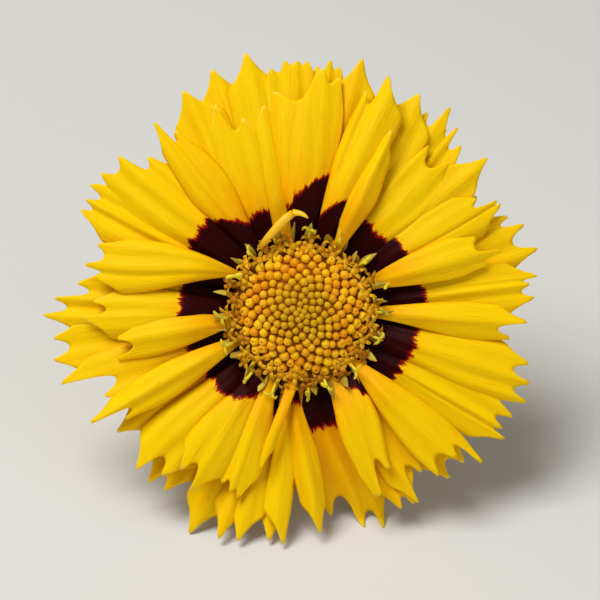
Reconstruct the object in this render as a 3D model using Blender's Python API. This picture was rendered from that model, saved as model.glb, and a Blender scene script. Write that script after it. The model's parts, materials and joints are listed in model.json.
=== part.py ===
"""A coreopsis flower head, cut with a length of its stalk and lying on a surface.

The head leans back and rests on two of its lower rays and on the stalk behind it. Everything in the head is modelled in
the head's own frame: the middle of the flower at the origin, +Z along its axis towards the viewer, +Y up the flower and
+X to its right. One empty then tips that frame to the angle at which the flower lies.
"""

import math
import random
from collections import namedtuple

import bmesh
import bpy
from mathutils import Matrix, Vector

MM = 0.001
GAP = 0.3  # clearance between pieces that touch, mm

# How the cut flower lies
FACE_ELEVATION = 35.0  # degrees that the flower's axis points above the horizon
HEAD_HEIGHT = 23.6  # height of the flower's middle above the surface, mm
HEAD_PLACE = (1.32, -25.19)  # where the middle lies, so that the origin is at the middle of the whole part's foot, mm
SURFACE_SINK = 0.25  # how far the two resting tips are pressed flat, mm
SLAB = 0.12  # side of the cutter that stands for the surface, m
TIP_CLEARANCE = 0.6  # height of every other low ray tip over the surface, mm

# Rays
BLADE = 0.6  # thickness of a ray, mm
RAY_ROOT = 8.2  # distance from the axis at which a ray leaves the ring, mm
CLAW_WIDTH = 1.5
RING_INNER = 7.0
RING_OUTER = 9.2
RING_FLOOR = -3.0
RING_TOP = 0.5
ROOT_LEVEL = -2.2  # height of the lowest layer's roots on the ring, mm
ROOT_STEP = 0.65  # how much higher the next layer's roots are, mm
LAYER_LEVEL = -1.6  # height of the lowest layer out on the flower, mm
LAYER_STEP = 0.85
RISE_LENGTH = 6.5  # a ray reaches its layer's height this far from its root, mm
NOTCH = 1.3  # depth of the cut between two teeth, mm
SHOULDER = 0.8  # where a ray's sides end, as a share of its reach
FOLD_HEIGHT = 0.12  # depth of the two folds along a ray, mm
ROWS = 4  # faces along a ray

# Disc
DISC_RADIUS = 7.2
DISC_RIM = 1.3  # height of the dome's rim, mm
DISC_RISE = 2.6  # height of the dome's top over its rim, mm
DISC_FOOT = 6.6
BUD_COUNT = 135
BUD_RADIUS = 0.62
BUD_HEIGHT = 1.3
GOLDEN_TURN = math.pi * (3 - math.sqrt(5))

# Open florets round the disc
OPEN_COUNT = 26
OPEN_INNER = 8.1
OPEN_OUTER = 9.3
OPEN_FLOOR = 0.9
OPEN_TOP = 1.9
STYLE_RADIUS = 0.34
STRAP_START = (-4.4, 7.2, 2.6)
STRAP_END = (-0.3, 11.0, 3.6)
STRAP_LENGTH = 5.6

# Receptacle and stalk
RECEPTACLE = [(1.2, -13.0), (2.0, -10.8), (3.6, -9.2), (5.0, -8.0), (6.2, -6.0), (6.8, -4.3), (6.8, -3.3)]
STEM_RADIUS = 1.25
STEM_SOCKET = -11.5  # the stalk starts inside the receptacle at this height, mm
STEM_STRAIGHT = 9.0
STEM_BEND = 62.0  # radius of the stalk's bend down to the surface, mm
STEM_LYING = 16.0  # length that lies along the surface, mm

# Bracts
BRACT_COUNT = 8
CUP_WALL = 0.8

# One line for each ray. turn: its direction from the flower's right, counter-clockwise, in degrees. root: the direction
# of its base, where that differs. layer: 0 at the back to 4 in front. width in mm. teeth: the direction and the reach
# from the flower's middle, in degrees and mm, of each tooth on its tip.
Ray = namedtuple("Ray", "turn layer width teeth root")


def ray(turn, layer, width, teeth, root=None):
    return Ray(turn, layer, width, teeth, turn if root is None else root)


RAYS = [
    ray(89, 4, 7.6, [(80.5, 28.0), (85, 29.7), (91.5, 25.8), (97, 27.2)]),
    ray(76.5, 2, 5.0, [(76.6, 31.8)]),
    ray(67, 3, 7.6, [(61.9, 30.4), (69.8, 30.7), (73.7, 27.9)]),
    ray(65, 4, 4.0, [(64.3, 24.6)]),
    ray(48, 4, 8.4, [(41, 25.2), (46, 25.4), (52.5, 25.4), (56, 23.7)]),
    ray(55, 2, 5.5, [(54.2, 31.0), (57.7, 29.1)]),
    ray(48.5, 1, 7.0, [(46, 28.2), (49.5, 29.5), (51.7, 28.6)]),
    ray(37.5, 1, 6.5, [(33.4, 25.8), (39.8, 29.4)]),
    ray(31, 3, 7.2, [(27.8, 27.4), (29.3, 27.6), (33, 25.8)]),
    ray(20, 1, 8.5, [(15.2, 30.1), (21.8, 29.4), (25.1, 27.7)]),
    ray(18.5, 4, 5.4, [(14.3, 23.4), (17.4, 25.0), (24, 23.3)], root=28),
    ray(5.5, 2, 8.0, [(3.6, 28.5), (6.5, 27.9), (8.6, 29.1)]),
    ray(-3.5, 4, 7.0, [(-7.2, 25.5), (-2.6, 27.4), (0.5, 26.0)], root=1),
    ray(-17, 3, 9.5, [(-22.1, 29.6), (-17.4, 29.0), (-13, 28.4)]),
    ray(-29, 2, 8.5, [(-32.4, 29.4), (-26.5, 28.8)]),
    ray(-44, 4, 9.5, [(-50.2, 25.9), (-45.2, 25.2), (-43, 25.8), (-39.7, 28.5)]),
    ray(-46, 1, 6.0, [(-48.4, 27.3), (-42.7, 27.1)]),
    ray(-56, 2, 6.5, [(-58.6, 27.4), (-52.6, 24.5)]),
    ray(-62, 1, 6.0, [(-63.5, 26.9), (-59.6, 27.3)]),
    ray(-65.5, 4, 8.0, [(-68, 24.1), (-64, 24.2), (-60.5, 21.8)]),
    ray(-75, 1, 8.5, [(-81.4, 25.3), (-73.8, 27.5), (-69.1, 28.3)]),
    ray(-87, 3, 5.8, [(-86, 27.4)]),
    ray(-94.5, 2, 2.2, [(-94.2, 28.4)]),
    ray(-98.5, 0, 4.5, [(-98.2, 28.2)]),
    ray(-105.5, 1, 5.0, [(-105.7, 29.0)]),
    ray(-110, 0, 4.2, [(-110.2, 29.5)]),
    ray(-117, 1, 5.0, [(-117, 30.5)]),
    ray(-118, 4, 9.8, [(-128.2, 24.4), (-122, 25.6), (-112.4, 23.9), (-109.2, 24.1)]),
    ray(-134, 3, 8.6, [(-136.7, 28.0), (-130.4, 26.3)]),
    ray(-130, 0, 7.0, [(-132, 28.2), (-127.6, 27.7)]),
    ray(-153, 4, 6.6, [(-152.3, 29.1), (-148.5, 25.0)]),
    ray(-147, 1, 5.5, [(-146.3, 27.3)]),
    ray(-161, 2, 7.4, [(-163.6, 30.7), (-156.6, 26.6)]),
    ray(-169.5, 4, 6.0, [(-172.5, 22.5), (-165.3, 23.1)]),
    ray(-171, 1, 7.5, [(-173.8, 30.6), (-169, 31.1)]),
    ray(-180, 3, 6.6, [(-183, 25.4), (-179.2, 26.7)]),
    ray(177, 1, 8.5, [(172.6, 27.7), (176.7, 30.2), (180.7, 31.7)]),
    ray(165.5, 4, 8.0, [(161.8, 26.3), (164, 25.7), (167.9, 27.1), (169.5, 26.4)], root=152),
    ray(152, 2, 8.5, [(149, 30.4), (152.6, 29.7), (155.2, 29.9)]),
    ray(142, 3, 8.5, [(138, 28.9), (140.4, 29.4), (145.7, 30.0)]),
    ray(128, 4, 6.2, [(127.9, 29.4), (130.5, 26.5)]),
    ray(119, 2, 7.0, [(118.3, 30.7)]),
    ray(112, 3, 5.6, [(112.4, 27.3)]),
    ray(110.4, 1, 6.5, [(110.4, 31.6)]),
    ray(102.5, 3, 6.2, [(102.5, 32.3)]),
    ray(94, 1, 9.0, [(88.6, 30.7), (91, 30.7), (94, 30.7), (96.9, 30.0)]),
    ray(83, 0, 6.0, [(80.5, 30.0), (83.5, 30.8)]),
]
RESTING_RAYS = (-117, -75)  # the turns of the two rays that the flower lies on


def clear_scene():
    for thing in list(bpy.data.objects):
        bpy.data.objects.remove(thing, do_unlink=True)


def new_collection(name):
    group = bpy.data.collections.new(name)
    bpy.context.scene.collection.children.link(group)
    return group


def material(name, colour, roughness):
    made = bpy.data.materials.new(name)
    made.use_nodes = True
    shader = made.node_tree.nodes["Principled BSDF"]
    shader.inputs["Base Color"].default_value = (*colour, 1.0)
    shader.inputs["Roughness"].default_value = roughness
    made.diffuse_color = (*colour, 1.0)
    return made


def mesh_object(name, form, group):
    """Makes an object from a bmesh, in the given collection, and frees the bmesh."""
    mesh = bpy.data.meshes.new(name)
    form.to_mesh(mesh)
    form.free()
    made = bpy.data.objects.new(name, mesh)
    group.objects.link(made)
    return made


def smooth(value):
    value = min(1.0, max(0.0, value))
    return value * value * (3 - 2 * value)


def polar(turn, reach):
    return Vector((reach * math.cos(math.radians(turn)), reach * math.sin(math.radians(turn))))


def surface_height(across_up, forward):
    """Height over the surface of a point given up the flower and along its axis, mm."""
    elevation = math.radians(FACE_ELEVATION)
    return HEAD_HEIGHT + across_up * math.cos(elevation) + forward * math.sin(elevation)


# Rays


def tip_outline(one):
    """The end of a ray, from its right side to its left: (offset across, reach along), both in mm."""
    teeth = []
    for turn, reach in one.teeth:
        angle = math.radians(turn - one.turn)
        teeth.append((reach * math.sin(angle), reach * math.cos(angle)))
    half = one.width / 2
    right = (-half, SHOULDER * teeth[0][1])
    left = (half, SHOULDER * teeth[-1][1])
    outline = [right, rounded(right, teeth[0])]
    for here, after in zip(teeth, teeth[1:]):
        outline.append(here)
        notch = min(NOTCH, 0.4 * (after[0] - here[0]) + 0.3)
        outline.append(((here[0] + after[0]) / 2, min(here[1], after[1]) - notch))
    outline += [teeth[-1], rounded(left, teeth[-1]), left]
    return outline


def rounded(shoulder, tooth):
    """A point between a ray's shoulder and its first tooth, on a rounded corner."""
    across = shoulder[0] + 0.3 * (tooth[0] - shoulder[0])
    along = shoulder[1] + 0.6 * (tooth[1] - shoulder[1])
    return across, along


def half_width(one, along):
    """Half the ray's width at a distance from the axis: a narrow claw that widens towards the tip."""
    reach = max(length for _, length in one.teeth)
    widest_at = RAY_ROOT + 0.55 * (reach - RAY_ROOT)
    share = (along - RAY_ROOT) / (widest_at - RAY_ROOT)
    ease = math.sin(min(1.0, max(0.0, share)) * math.pi / 2)
    claw = min(CLAW_WIDTH, one.width) / 2
    return claw + (one.width / 2 - claw) * ease


def tip_bend(one):
    """How far the ray's tip is bent along the axis, so that only the resting rays reach the surface."""
    bend = 0.0
    for turn, reach in one.teeth:
        place = polar(turn, reach)
        level = LAYER_LEVEL + LAYER_STEP * one.layer - BLADE
        height = surface_height(place.y, level)
        if one.turn in RESTING_RAYS:
            bend = min(bend, (-SURFACE_SINK - height) / math.sin(math.radians(FACE_ELEVATION)))
        elif height < TIP_CLEARANCE:
            bend = max(bend, (TIP_CLEARANCE - height) / math.sin(math.radians(FACE_ELEVATION)))
    return bend


def ray_point(one, along, share, bend):
    """A point of the ray's upper face: along is its distance out, share runs from -1 to 1 across it."""
    reach = max(length for _, length in one.teeth)
    out = (along - RAY_ROOT) / (reach - RAY_ROOT)
    sway = (one.root - one.turn) * (1 - out) ** 2
    half = half_width(one, along)
    flat = polar(one.turn + sway, 1.0) * along + polar(one.turn + sway + 90, 1.0) * (share * half)
    low = ROOT_LEVEL + ROOT_STEP * one.layer
    high = LAYER_LEVEL + LAYER_STEP * one.layer
    height = low + (high - low) * smooth((along - RAY_ROOT) / RISE_LENGTH)
    fold = FOLD_HEIGHT * math.cos(2 * math.pi * share) * smooth(out * 2)
    return Vector((flat.x, flat.y, height + fold + bend * max(0.0, out) ** 2))


def ray_form(one):
    """A ray as a sheet of columns, each ending on the toothed outline, thickened along the flower's axis."""
    outline = tip_outline(one)
    columns = len(outline)
    bend = tip_bend(one)
    form = bmesh.new()
    made = bmesh.ops.create_grid(form, x_segments=columns - 1, y_segments=ROWS, size=1.0)
    half = one.width / 2
    for index, vert in enumerate(made["verts"]):
        row, column = divmod(index, columns)
        across, reach = outline[column]
        along = RAY_ROOT + (reach - RAY_ROOT) * row / ROWS
        vert.co = ray_point(one, along, across / half, bend)
    bmesh.ops.triangulate(form, faces=form.faces[:])
    thicken(form, Vector((0, 0, -BLADE)))
    return form


def thicken(form, step):
    """Closes an open sheet into a body of the same outline, step away on its other side."""
    lower = bmesh.ops.extrude_face_region(form, geom=form.faces[:], use_keep_orig=True)
    moved = [item for item in lower["geom"] if isinstance(item, bmesh.types.BMVert)]
    bmesh.ops.translate(form, verts=moved, vec=step)
    bmesh.ops.recalc_face_normals(form, faces=form.faces[:])


def turned_form(profile, sides=24):
    """A ring or a solid turned round the axis, from points (distance out, height) in mm that close on themselves."""
    form = bmesh.new()
    rim = [form.verts.new((out, 0, height)) for out, height in profile]
    edges = [form.edges.new(pair) for pair in zip(rim, rim[1:] + rim[:1])]
    bmesh.ops.spin(
        form, geom=rim + edges, cent=(0, 0, 0), axis=(0, 0, 1), angle=2 * math.pi, steps=sides, use_merge=True
    )
    bmesh.ops.remove_doubles(form, verts=form.verts[:], dist=0.001)
    bmesh.ops.recalc_face_normals(form, faces=form.faces[:])
    return form




def joined(name, base, forms, group):
    """The base form with every other form fused to it by one Boolean union."""
    pieces = new_collection(name + "_pieces")
    for number, form in enumerate(forms):
        mesh_object(f"{name}_piece_{number}", form, pieces)
    whole = mesh_object(name, base, group)
    union = whole.modifiers.new("join", "BOOLEAN")
    union.operation = "UNION"
    union.operand_type = "COLLECTION"
    union.collection = pieces
    union.solver = "MANIFOLD"
    apply_modifiers(whole)
    for piece in list(pieces.objects):
        bpy.data.objects.remove(piece, do_unlink=True)
    bpy.data.collections.remove(pieces)
    return whole


def apply_modifiers(thing):
    bpy.context.view_layer.update()
    ready = thing.evaluated_get(bpy.context.evaluated_depsgraph_get())
    mesh = bpy.data.meshes.new_from_object(ready)
    thing.modifiers.clear()
    thing.data = mesh


def ray_florets(group):
    ring = turned_form(
        [(RING_INNER, RING_FLOOR), (RING_OUTER, RING_FLOOR), (RING_OUTER, RING_TOP), (RING_INNER, RING_TOP)]
    )
    return joined("ray_florets", ring, [ray_form(one) for one in RAYS], group)


# Disc


def dome_point(turn, out):
    """A point of the disc's dome and the direction in which a floret stands there."""
    share = min(1.0, out / DISC_RADIUS)
    height = DISC_RIM + DISC_RISE * (1 - share**2)
    slope = 2 * DISC_RISE * share / DISC_RADIUS
    side = Vector((math.cos(turn), math.sin(turn), 0))
    return side * out + Vector((0, 0, height)), (side * slope + Vector((0, 0, 1))).normalized()


def standing(form, point, direction, spin=0.0):
    """Moves a form that was made along +Z to a point, so that it stands in a direction."""
    turned = direction.to_track_quat("Z", "Y").to_matrix().to_4x4()
    bmesh.ops.transform(form, matrix=Matrix.Translation(point) @ turned @ Matrix.Rotation(spin, 4, "Z"), verts=form.verts)


def bud_form(point, direction, size, spin):
    """A closed floret: five lobes folded to a blunt point."""
    form = bmesh.new()
    bmesh.ops.create_cone(
        form,
        cap_ends=True,
        segments=5,
        radius1=BUD_RADIUS * size,
        radius2=BUD_RADIUS * size * 0.7,
        depth=BUD_HEIGHT,
    )
    standing(form, point, direction, spin)
    return form


def disc_florets(group):
    chance = random.Random(11)
    profile = [(0, RING_FLOOR), (DISC_FOOT, RING_FLOOR), (DISC_FOOT, OPEN_FLOOR), (DISC_RADIUS, DISC_RIM)]
    profile += [(DISC_RADIUS * share, DISC_RIM + DISC_RISE * (1 - share**2)) for share in (0.75, 0.5, 0.25, 0)]
    buds = []
    for number in range(BUD_COUNT):
        out = DISC_RADIUS * math.sqrt((number + 0.5) / BUD_COUNT)
        point, direction = dome_point(number * GOLDEN_TURN, out)
        buds.append(bud_form(point, direction, chance.uniform(0.93, 1.03), chance.uniform(0, 1.2)))
    return joined("disc_florets", turned_form(profile), buds, group)


# Open florets


def open_floret_forms(turn, lean, length):
    """An open floret: a flared tube and the style that leans out of it."""
    side = Vector((math.cos(turn), math.sin(turn), 0))
    tube = bmesh.new()
    bmesh.ops.create_cone(tube, cap_ends=True, segments=5, radius1=0.4, radius2=0.68, depth=1.6)
    place = side * ((OPEN_INNER + OPEN_OUTER) / 2) + Vector((0, 0, OPEN_TOP + 0.3))
    standing(tube, place, (side * 0.25 + Vector((0, 0, 1))).normalized(), turn)
    style = bmesh.new()
    bmesh.ops.create_cone(
        style, cap_ends=True, segments=4, radius1=STYLE_RADIUS, radius2=STYLE_RADIUS * 0.8, depth=length
    )
    direction = (side * lean + Vector((0, 0, 1))).normalized()
    standing(style, place + direction * (length / 2 + 0.2), direction, turn)
    return [tube, style]


def strap_form():
    """The one rolled strap-shaped floret, which leans over the top of the disc's edge."""
    form = bmesh.new()
    bmesh.ops.create_cone(form, cap_ends=True, segments=6, radius1=0.5, radius2=0.65, depth=STRAP_LENGTH)
    start = Vector(STRAP_START)
    direction = (Vector(STRAP_END) - start).normalized()
    standing(form, start + direction * STRAP_LENGTH / 2, direction)
    return form


def open_florets(group):
    chance = random.Random(5)
    ring = turned_form(
        [(OPEN_INNER, OPEN_FLOOR), (OPEN_OUTER, OPEN_FLOOR), (OPEN_OUTER, OPEN_TOP), (OPEN_INNER, OPEN_TOP)], sides=26
    )
    forms = [strap_form()]
    for number in range(OPEN_COUNT):
        turn = 2 * math.pi * (number + chance.uniform(-0.2, 0.2)) / OPEN_COUNT
        forms += open_floret_forms(turn, chance.uniform(0.5, 1.3), chance.uniform(0.8, 1.7))
    return joined("open_florets", ring, forms, group)


# Bracts


def bract_form(turn, path, width, tip_width):
    """A pointed bract along a path of (distance out, height) points, thickened on its lower side."""
    rows = len(path)
    form = bmesh.new()
    made = bmesh.ops.create_grid(form, x_segments=2, y_segments=rows - 1, size=1.0)
    for index, vert in enumerate(made["verts"]):
        row, column = divmod(index, 3)
        out, height = path[row]
        share = row / (rows - 1)
        half = 0.5 * (width * math.sin(math.pi * (0.3 + 0.55 * share)) * (1 - share) + tip_width * share)
        keel = 0.25 * half if column == 1 else 0.0
        flat = polar(turn, out) + polar(turn + 90, (column - 1) * half)
        vert.co = (flat.x, flat.y, height - keel)
    bmesh.ops.triangulate(form, faces=form.faces[:])
    thicken(form, Vector((0, 0, -BLADE)))
    return form


def bracts(name, ring, path, width, offset, group):
    forms = [bract_form(offset + 360 * number / BRACT_COUNT, path, width, 0.7) for number in range(BRACT_COUNT)]
    return joined(name, turned_form(ring, sides=16), forms, group)


def inner_bracts(group):
    ring = [(5.4, -7.9), (7.2, -4.4), (8.0, -4.4), (6.4, -7.9)]
    path = [(6.6, -5.6), (8.0, -5.0), (9.6, -4.2), (11.2, -3.6), (12.6, -3.4)]
    return bracts("inner_bracts", ring, path, 6.4, 22.5, group)


def outer_bracts(group):
    ring = [(4.0, -9.4), (4.9, -8.4), (6.0, -8.4), (5.2, -9.6)]
    path = [(5.2, -8.6), (7.6, -8.4), (10.0, -8.4), (12.2, -8.9), (13.6, -9.6)]
    return bracts("outer_bracts", ring, path, 3.6, 0.0, group)


# Stalk


def stem_points():
    """The stalk's centre line in the surface's frame: straight out of the head, then a bend down to the surface."""
    tilt = math.radians(FACE_ELEVATION)
    back = Vector((0, math.cos(tilt), -math.sin(tilt)))
    start = Vector((*HEAD_PLACE, HEAD_HEIGHT)) - back * STEM_SOCKET
    bend_drop = STEM_BEND * (1 - math.cos(tilt))
    straight = (start.z - STEM_RADIUS - bend_drop) / math.sin(tilt)
    points = [start + back * straight * share for share in (0, 0.5)]
    knee = start + back * straight
    for share in (0, 0.2, 0.4, 0.6, 0.8, 1.0):
        left = tilt * (1 - share)
        run = STEM_BEND * (math.sin(tilt) - math.sin(left))
        points.append(knee + Vector((0, run, STEM_RADIUS - knee.z + STEM_BEND * (1 - math.cos(left)))))
    end = points[-1]
    return points + [end + Vector((0, STEM_LYING * share, 0)) for share in (0.5, 1.0)]


def tube_form(points, radius):
    """A round tube along points, with closed ends, from a curve."""
    curve = bpy.data.curves.new("stem_line", "CURVE")
    curve.dimensions = "3D"
    curve.bevel_depth = radius
    curve.bevel_resolution = 2
    curve.use_fill_caps = True
    line = curve.splines.new("POLY")
    line.points.add(len(points) - 1)
    for spot, point in zip(line.points, points):
        spot.co = (*point, 1.0)
    holder = bpy.data.objects.new("stem_line", curve)
    bpy.context.scene.collection.objects.link(holder)
    bpy.context.view_layer.update()
    mesh = bpy.data.meshes.new_from_object(holder.evaluated_get(bpy.context.evaluated_depsgraph_get()))
    bpy.data.objects.remove(holder, do_unlink=True)
    form = bmesh.new()
    form.from_mesh(mesh)
    bmesh.ops.remove_doubles(form, verts=form.verts[:], dist=0.001)
    return form


def stem(group, head_pose):
    """The stalk and the swollen receptacle at its top, which grew as one."""
    receptacle = turned_form([(0, RECEPTACLE[0][1])] + RECEPTACLE + [(0, RECEPTACLE[-1][1])])
    tube = tube_form(stem_points(), STEM_RADIUS)
    bmesh.ops.transform(tube, matrix=head_pose.inverted(), verts=tube.verts)
    return joined("stem", receptacle, [tube], group)


# The flower


def pose_matrix():
    """From the head's frame, in mm, to the surface's frame, in mm."""
    lean = Matrix.Rotation(math.radians(90 - FACE_ELEVATION), 4, "X")
    return Matrix.Translation((*HEAD_PLACE, HEAD_HEIGHT)) @ lean


def press_flat(thing, cutters):
    """Cuts off what would reach below the surface, so that the resting tips end in small flats."""
    form = bmesh.new()
    bmesh.ops.create_cube(form, size=SLAB)
    slab = mesh_object("surface_cutter", form, cutters)
    slab.location.z = -SLAB / 2
    slab.hide_render = True
    slab.display_type = "WIRE"
    cut = thing.modifiers.new("press_flat", "BOOLEAN")
    cut.operation = "DIFFERENCE"
    cut.object = slab
    cut.solver = "MANIFOLD"


def main():
    clear_scene()
    flower = new_collection("coreopsis")
    cutters = new_collection("cutters")
    pose = pose_matrix()
    made = {
        "ray_florets": (ray_florets(flower), (0.93, 0.66, 0.01), 0.55),
        "disc_florets": (disc_florets(flower), (0.75, 0.34, 0.02), 0.6),
        "open_florets": (open_florets(flower), (0.67, 0.58, 0.06), 0.55),
        "inner_bracts": (inner_bracts(flower), (0.35, 0.38, 0.08), 0.6),
        "outer_bracts": (outer_bracts(flower), (0.12, 0.24, 0.05), 0.6),
        "stem": (stem(flower, pose), (0.16, 0.3, 0.07), 0.55),
    }
    for name, (thing, colour, roughness) in made.items():
        thing.data.transform(Matrix.Scale(MM, 4) @ pose)
        thing.data.materials.clear()
        thing.data.materials.append(material(name, colour, roughness))
    press_flat(made["ray_florets"][0], cutters)


main()
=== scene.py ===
# %% [markdown]
# A coreopsis flower head, cut and laid down
#
# The flower lies on a surface. It leans back on two of its lower rays and on the stalk behind it, so its
# face looks forward and up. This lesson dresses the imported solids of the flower: it keeps their place and
# size, and swaps each one for a finer piece with its own procedural finish.

import json
import math
import random
from collections import namedtuple

import bmesh
import bpy
from mathutils import Matrix, Vector

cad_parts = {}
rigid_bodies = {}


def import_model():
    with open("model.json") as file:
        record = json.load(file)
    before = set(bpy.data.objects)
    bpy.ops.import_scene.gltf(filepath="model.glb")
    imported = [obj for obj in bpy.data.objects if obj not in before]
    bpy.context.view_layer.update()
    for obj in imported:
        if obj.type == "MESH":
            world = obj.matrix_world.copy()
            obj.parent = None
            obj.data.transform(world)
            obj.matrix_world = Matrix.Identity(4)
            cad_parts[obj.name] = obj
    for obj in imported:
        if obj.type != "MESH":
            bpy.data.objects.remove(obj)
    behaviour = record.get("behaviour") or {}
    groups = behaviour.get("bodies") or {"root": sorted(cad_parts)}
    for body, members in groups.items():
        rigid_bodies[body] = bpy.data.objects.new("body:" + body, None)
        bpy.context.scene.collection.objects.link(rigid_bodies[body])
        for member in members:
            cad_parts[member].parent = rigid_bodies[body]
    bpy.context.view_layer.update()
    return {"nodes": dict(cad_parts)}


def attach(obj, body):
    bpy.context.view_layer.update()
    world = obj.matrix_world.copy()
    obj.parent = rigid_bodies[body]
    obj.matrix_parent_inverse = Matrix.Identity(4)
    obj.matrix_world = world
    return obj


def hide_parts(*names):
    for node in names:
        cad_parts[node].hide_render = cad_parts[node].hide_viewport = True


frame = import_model()
print("solids:", sorted(frame["nodes"]))

# %% [markdown]
# The head's own frame
#
# A flower is easiest to model face up: the middle of the head at the origin, +Z along its axis towards the
# viewer and +Y up the flower, with lengths in millimetres. One matrix then tips everything to the angle at
# which the flower lies and turns millimetres into metres. The mesh takes that matrix, so that every
# finished object stays at the origin.

# %% The head's frame
FACE_ELEVATION = 35.0  # degrees that the flower's axis points above the horizon
TILT = math.radians(FACE_ELEVATION)
HEAD_HEIGHT = 23.6  # height of the flower's middle above the surface, mm
HEAD_PLACE = (1.32, -25.19)  # where the middle lies over the surface, mm
MM = 0.001  # a millimetre in metres

LEAN = Matrix.Rotation(math.radians(90 - FACE_ELEVATION), 4, "X")
HEAD = Matrix.Scale(MM, 4) @ Matrix.Translation((*HEAD_PLACE, HEAD_HEIGHT)) @ LEAN


def polar(turn, reach):
    """A point of the flower's face, from a direction in degrees and a distance in mm."""
    return Vector((reach * math.cos(math.radians(turn)), reach * math.sin(math.radians(turn)), 0.0))


def smooth(value):
    """A soft step: 0 for values up to 0, 1 for values from 1 on."""
    value = min(1.0, max(0.0, value))
    return value * value * (3 - 2 * value)


def new_object(name, data):
    """An object at the origin that shows the data."""
    thing = bpy.data.objects.new(name, data)
    bpy.context.scene.collection.objects.link(thing)
    return thing


print("the flower's middle lies at", [round(part, 4) for part in HEAD.translation])

# %% [markdown]
# Camera
#
# The photograph looks straight down the axis of the flower, so the camera stands on that axis, at the
# distance of a close-up. Its frame is 600 by 600 pixels, and the flower's middle falls a little right of
# and below the frame's middle. The head is 60 mm across there, which gives the size of a pixel.

# %% Camera
FRAME_PIXELS = 600
PIXEL = 0.1224  # mm at the flower for one pixel of the frame
HEAD_PIXEL = (302, 312)  # where the flower's middle falls in the frame
CAMERA_DISTANCE = 350.0  # mm
SENSOR = 36.0  # width of the camera's sensor, mm
CLIP_START = 0.01  # distance from which the camera sees, m

aim = Vector(((FRAME_PIXELS / 2 - HEAD_PIXEL[0]) * PIXEL, (HEAD_PIXEL[1] - FRAME_PIXELS / 2) * PIXEL, 0))
camera_data = bpy.data.cameras.new("camera")
camera_data.sensor_width = SENSOR
camera_data.lens = SENSOR * CAMERA_DISTANCE / (FRAME_PIXELS * PIXEL)
camera_data.clip_start = CLIP_START
camera = new_object("camera", camera_data)
camera.matrix_world = Matrix.Translation(HEAD @ (aim + Vector((0, 0, CAMERA_DISTANCE)))) @ LEAN
bpy.context.scene.camera = camera
print("lens:", round(camera_data.lens, 1), "mm")

# %% [markdown]
# Light and floor
#
# Soft light from a large panel above the flower shapes the folds of the rays, and a weaker panel on the
# other side opens the shadows between the layers. The floor is a plain pale sheet.

# %% Light and floor
WHITE = (1.0, 1.0, 1.0, 1.0)
WORLD_LIGHT = 0.22
FLOOR_SIDE = 4.0  # m
PANELS = {  # place in the head's frame in mm, side in mm, power in watts
    "key_light": ((-240, 460, 420), 360, 4.2),
    "fill_light": ((420, -120, 460), 500, 0.8),
}


def panel(name, place, side, power):
    """A square area light that faces the flower."""
    light = bpy.data.lights.new(name, "AREA")
    light.shape = "SQUARE"
    light.size = side * MM
    light.energy = power
    holder = new_object(name, light)
    spot = HEAD @ Vector(place)
    holder.location = spot
    holder.rotation_euler = (HEAD.translation - spot).to_track_quat("-Z", "Y").to_euler()


for name, settings in PANELS.items():
    panel(name, *settings)

world = bpy.data.worlds.new("soft_room")
world.use_nodes = True
sky = world.node_tree.nodes["Background"].inputs
sky["Color"].default_value = WHITE
sky["Strength"].default_value = WORLD_LIGHT
bpy.context.scene.world = world
bpy.context.scene.view_settings.view_transform = "Standard"

bpy.ops.mesh.primitive_plane_add(size=FLOOR_SIDE)
floor = bpy.context.object
floor.name = "floor"
print("lights:", ", ".join(PANELS))

# %% [markdown]
# Shader maths as Python
#
# A finish is a sum of small patterns. A wrapped socket lets that sum be written as one: a * b adds a Math
# node. The same wrapper builds Geometry Nodes trees, because both kinds of tree are made of nodes and
# sockets.

# %% Nodes as expressions


class Term:
    """A node's output that can be used in an expression."""

    def __init__(self, tree, socket):
        self.tree = tree
        self.socket = socket

    def math(self, operation, *others):
        return self.tree.add("ShaderNodeMath", dict(enumerate((self, *others))), operation=operation)

    def __add__(self, other):
        return self.math("ADD", other)

    def __sub__(self, other):
        return self.math("SUBTRACT", other)

    def __mul__(self, other):
        return self.math("MULTIPLY", other)

    def __truediv__(self, other):
        return self.math("DIVIDE", other)

    def __pow__(self, other):
        return self.math("POWER", other)

    def __rsub__(self, other):
        return self.tree.add("ShaderNodeMath", {0: other, 1: self}, operation="SUBTRACT")

    __radd__ = __add__

    def between(self, low, high):
        """0 where the value is low, 1 where it is high, and a smooth step from one to the other."""
        sockets = {"Value": self, "From Min": low, "From Max": high}
        return self.tree.add("ShaderNodeMapRange", sockets, interpolation_type="SMOOTHSTEP")


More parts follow.
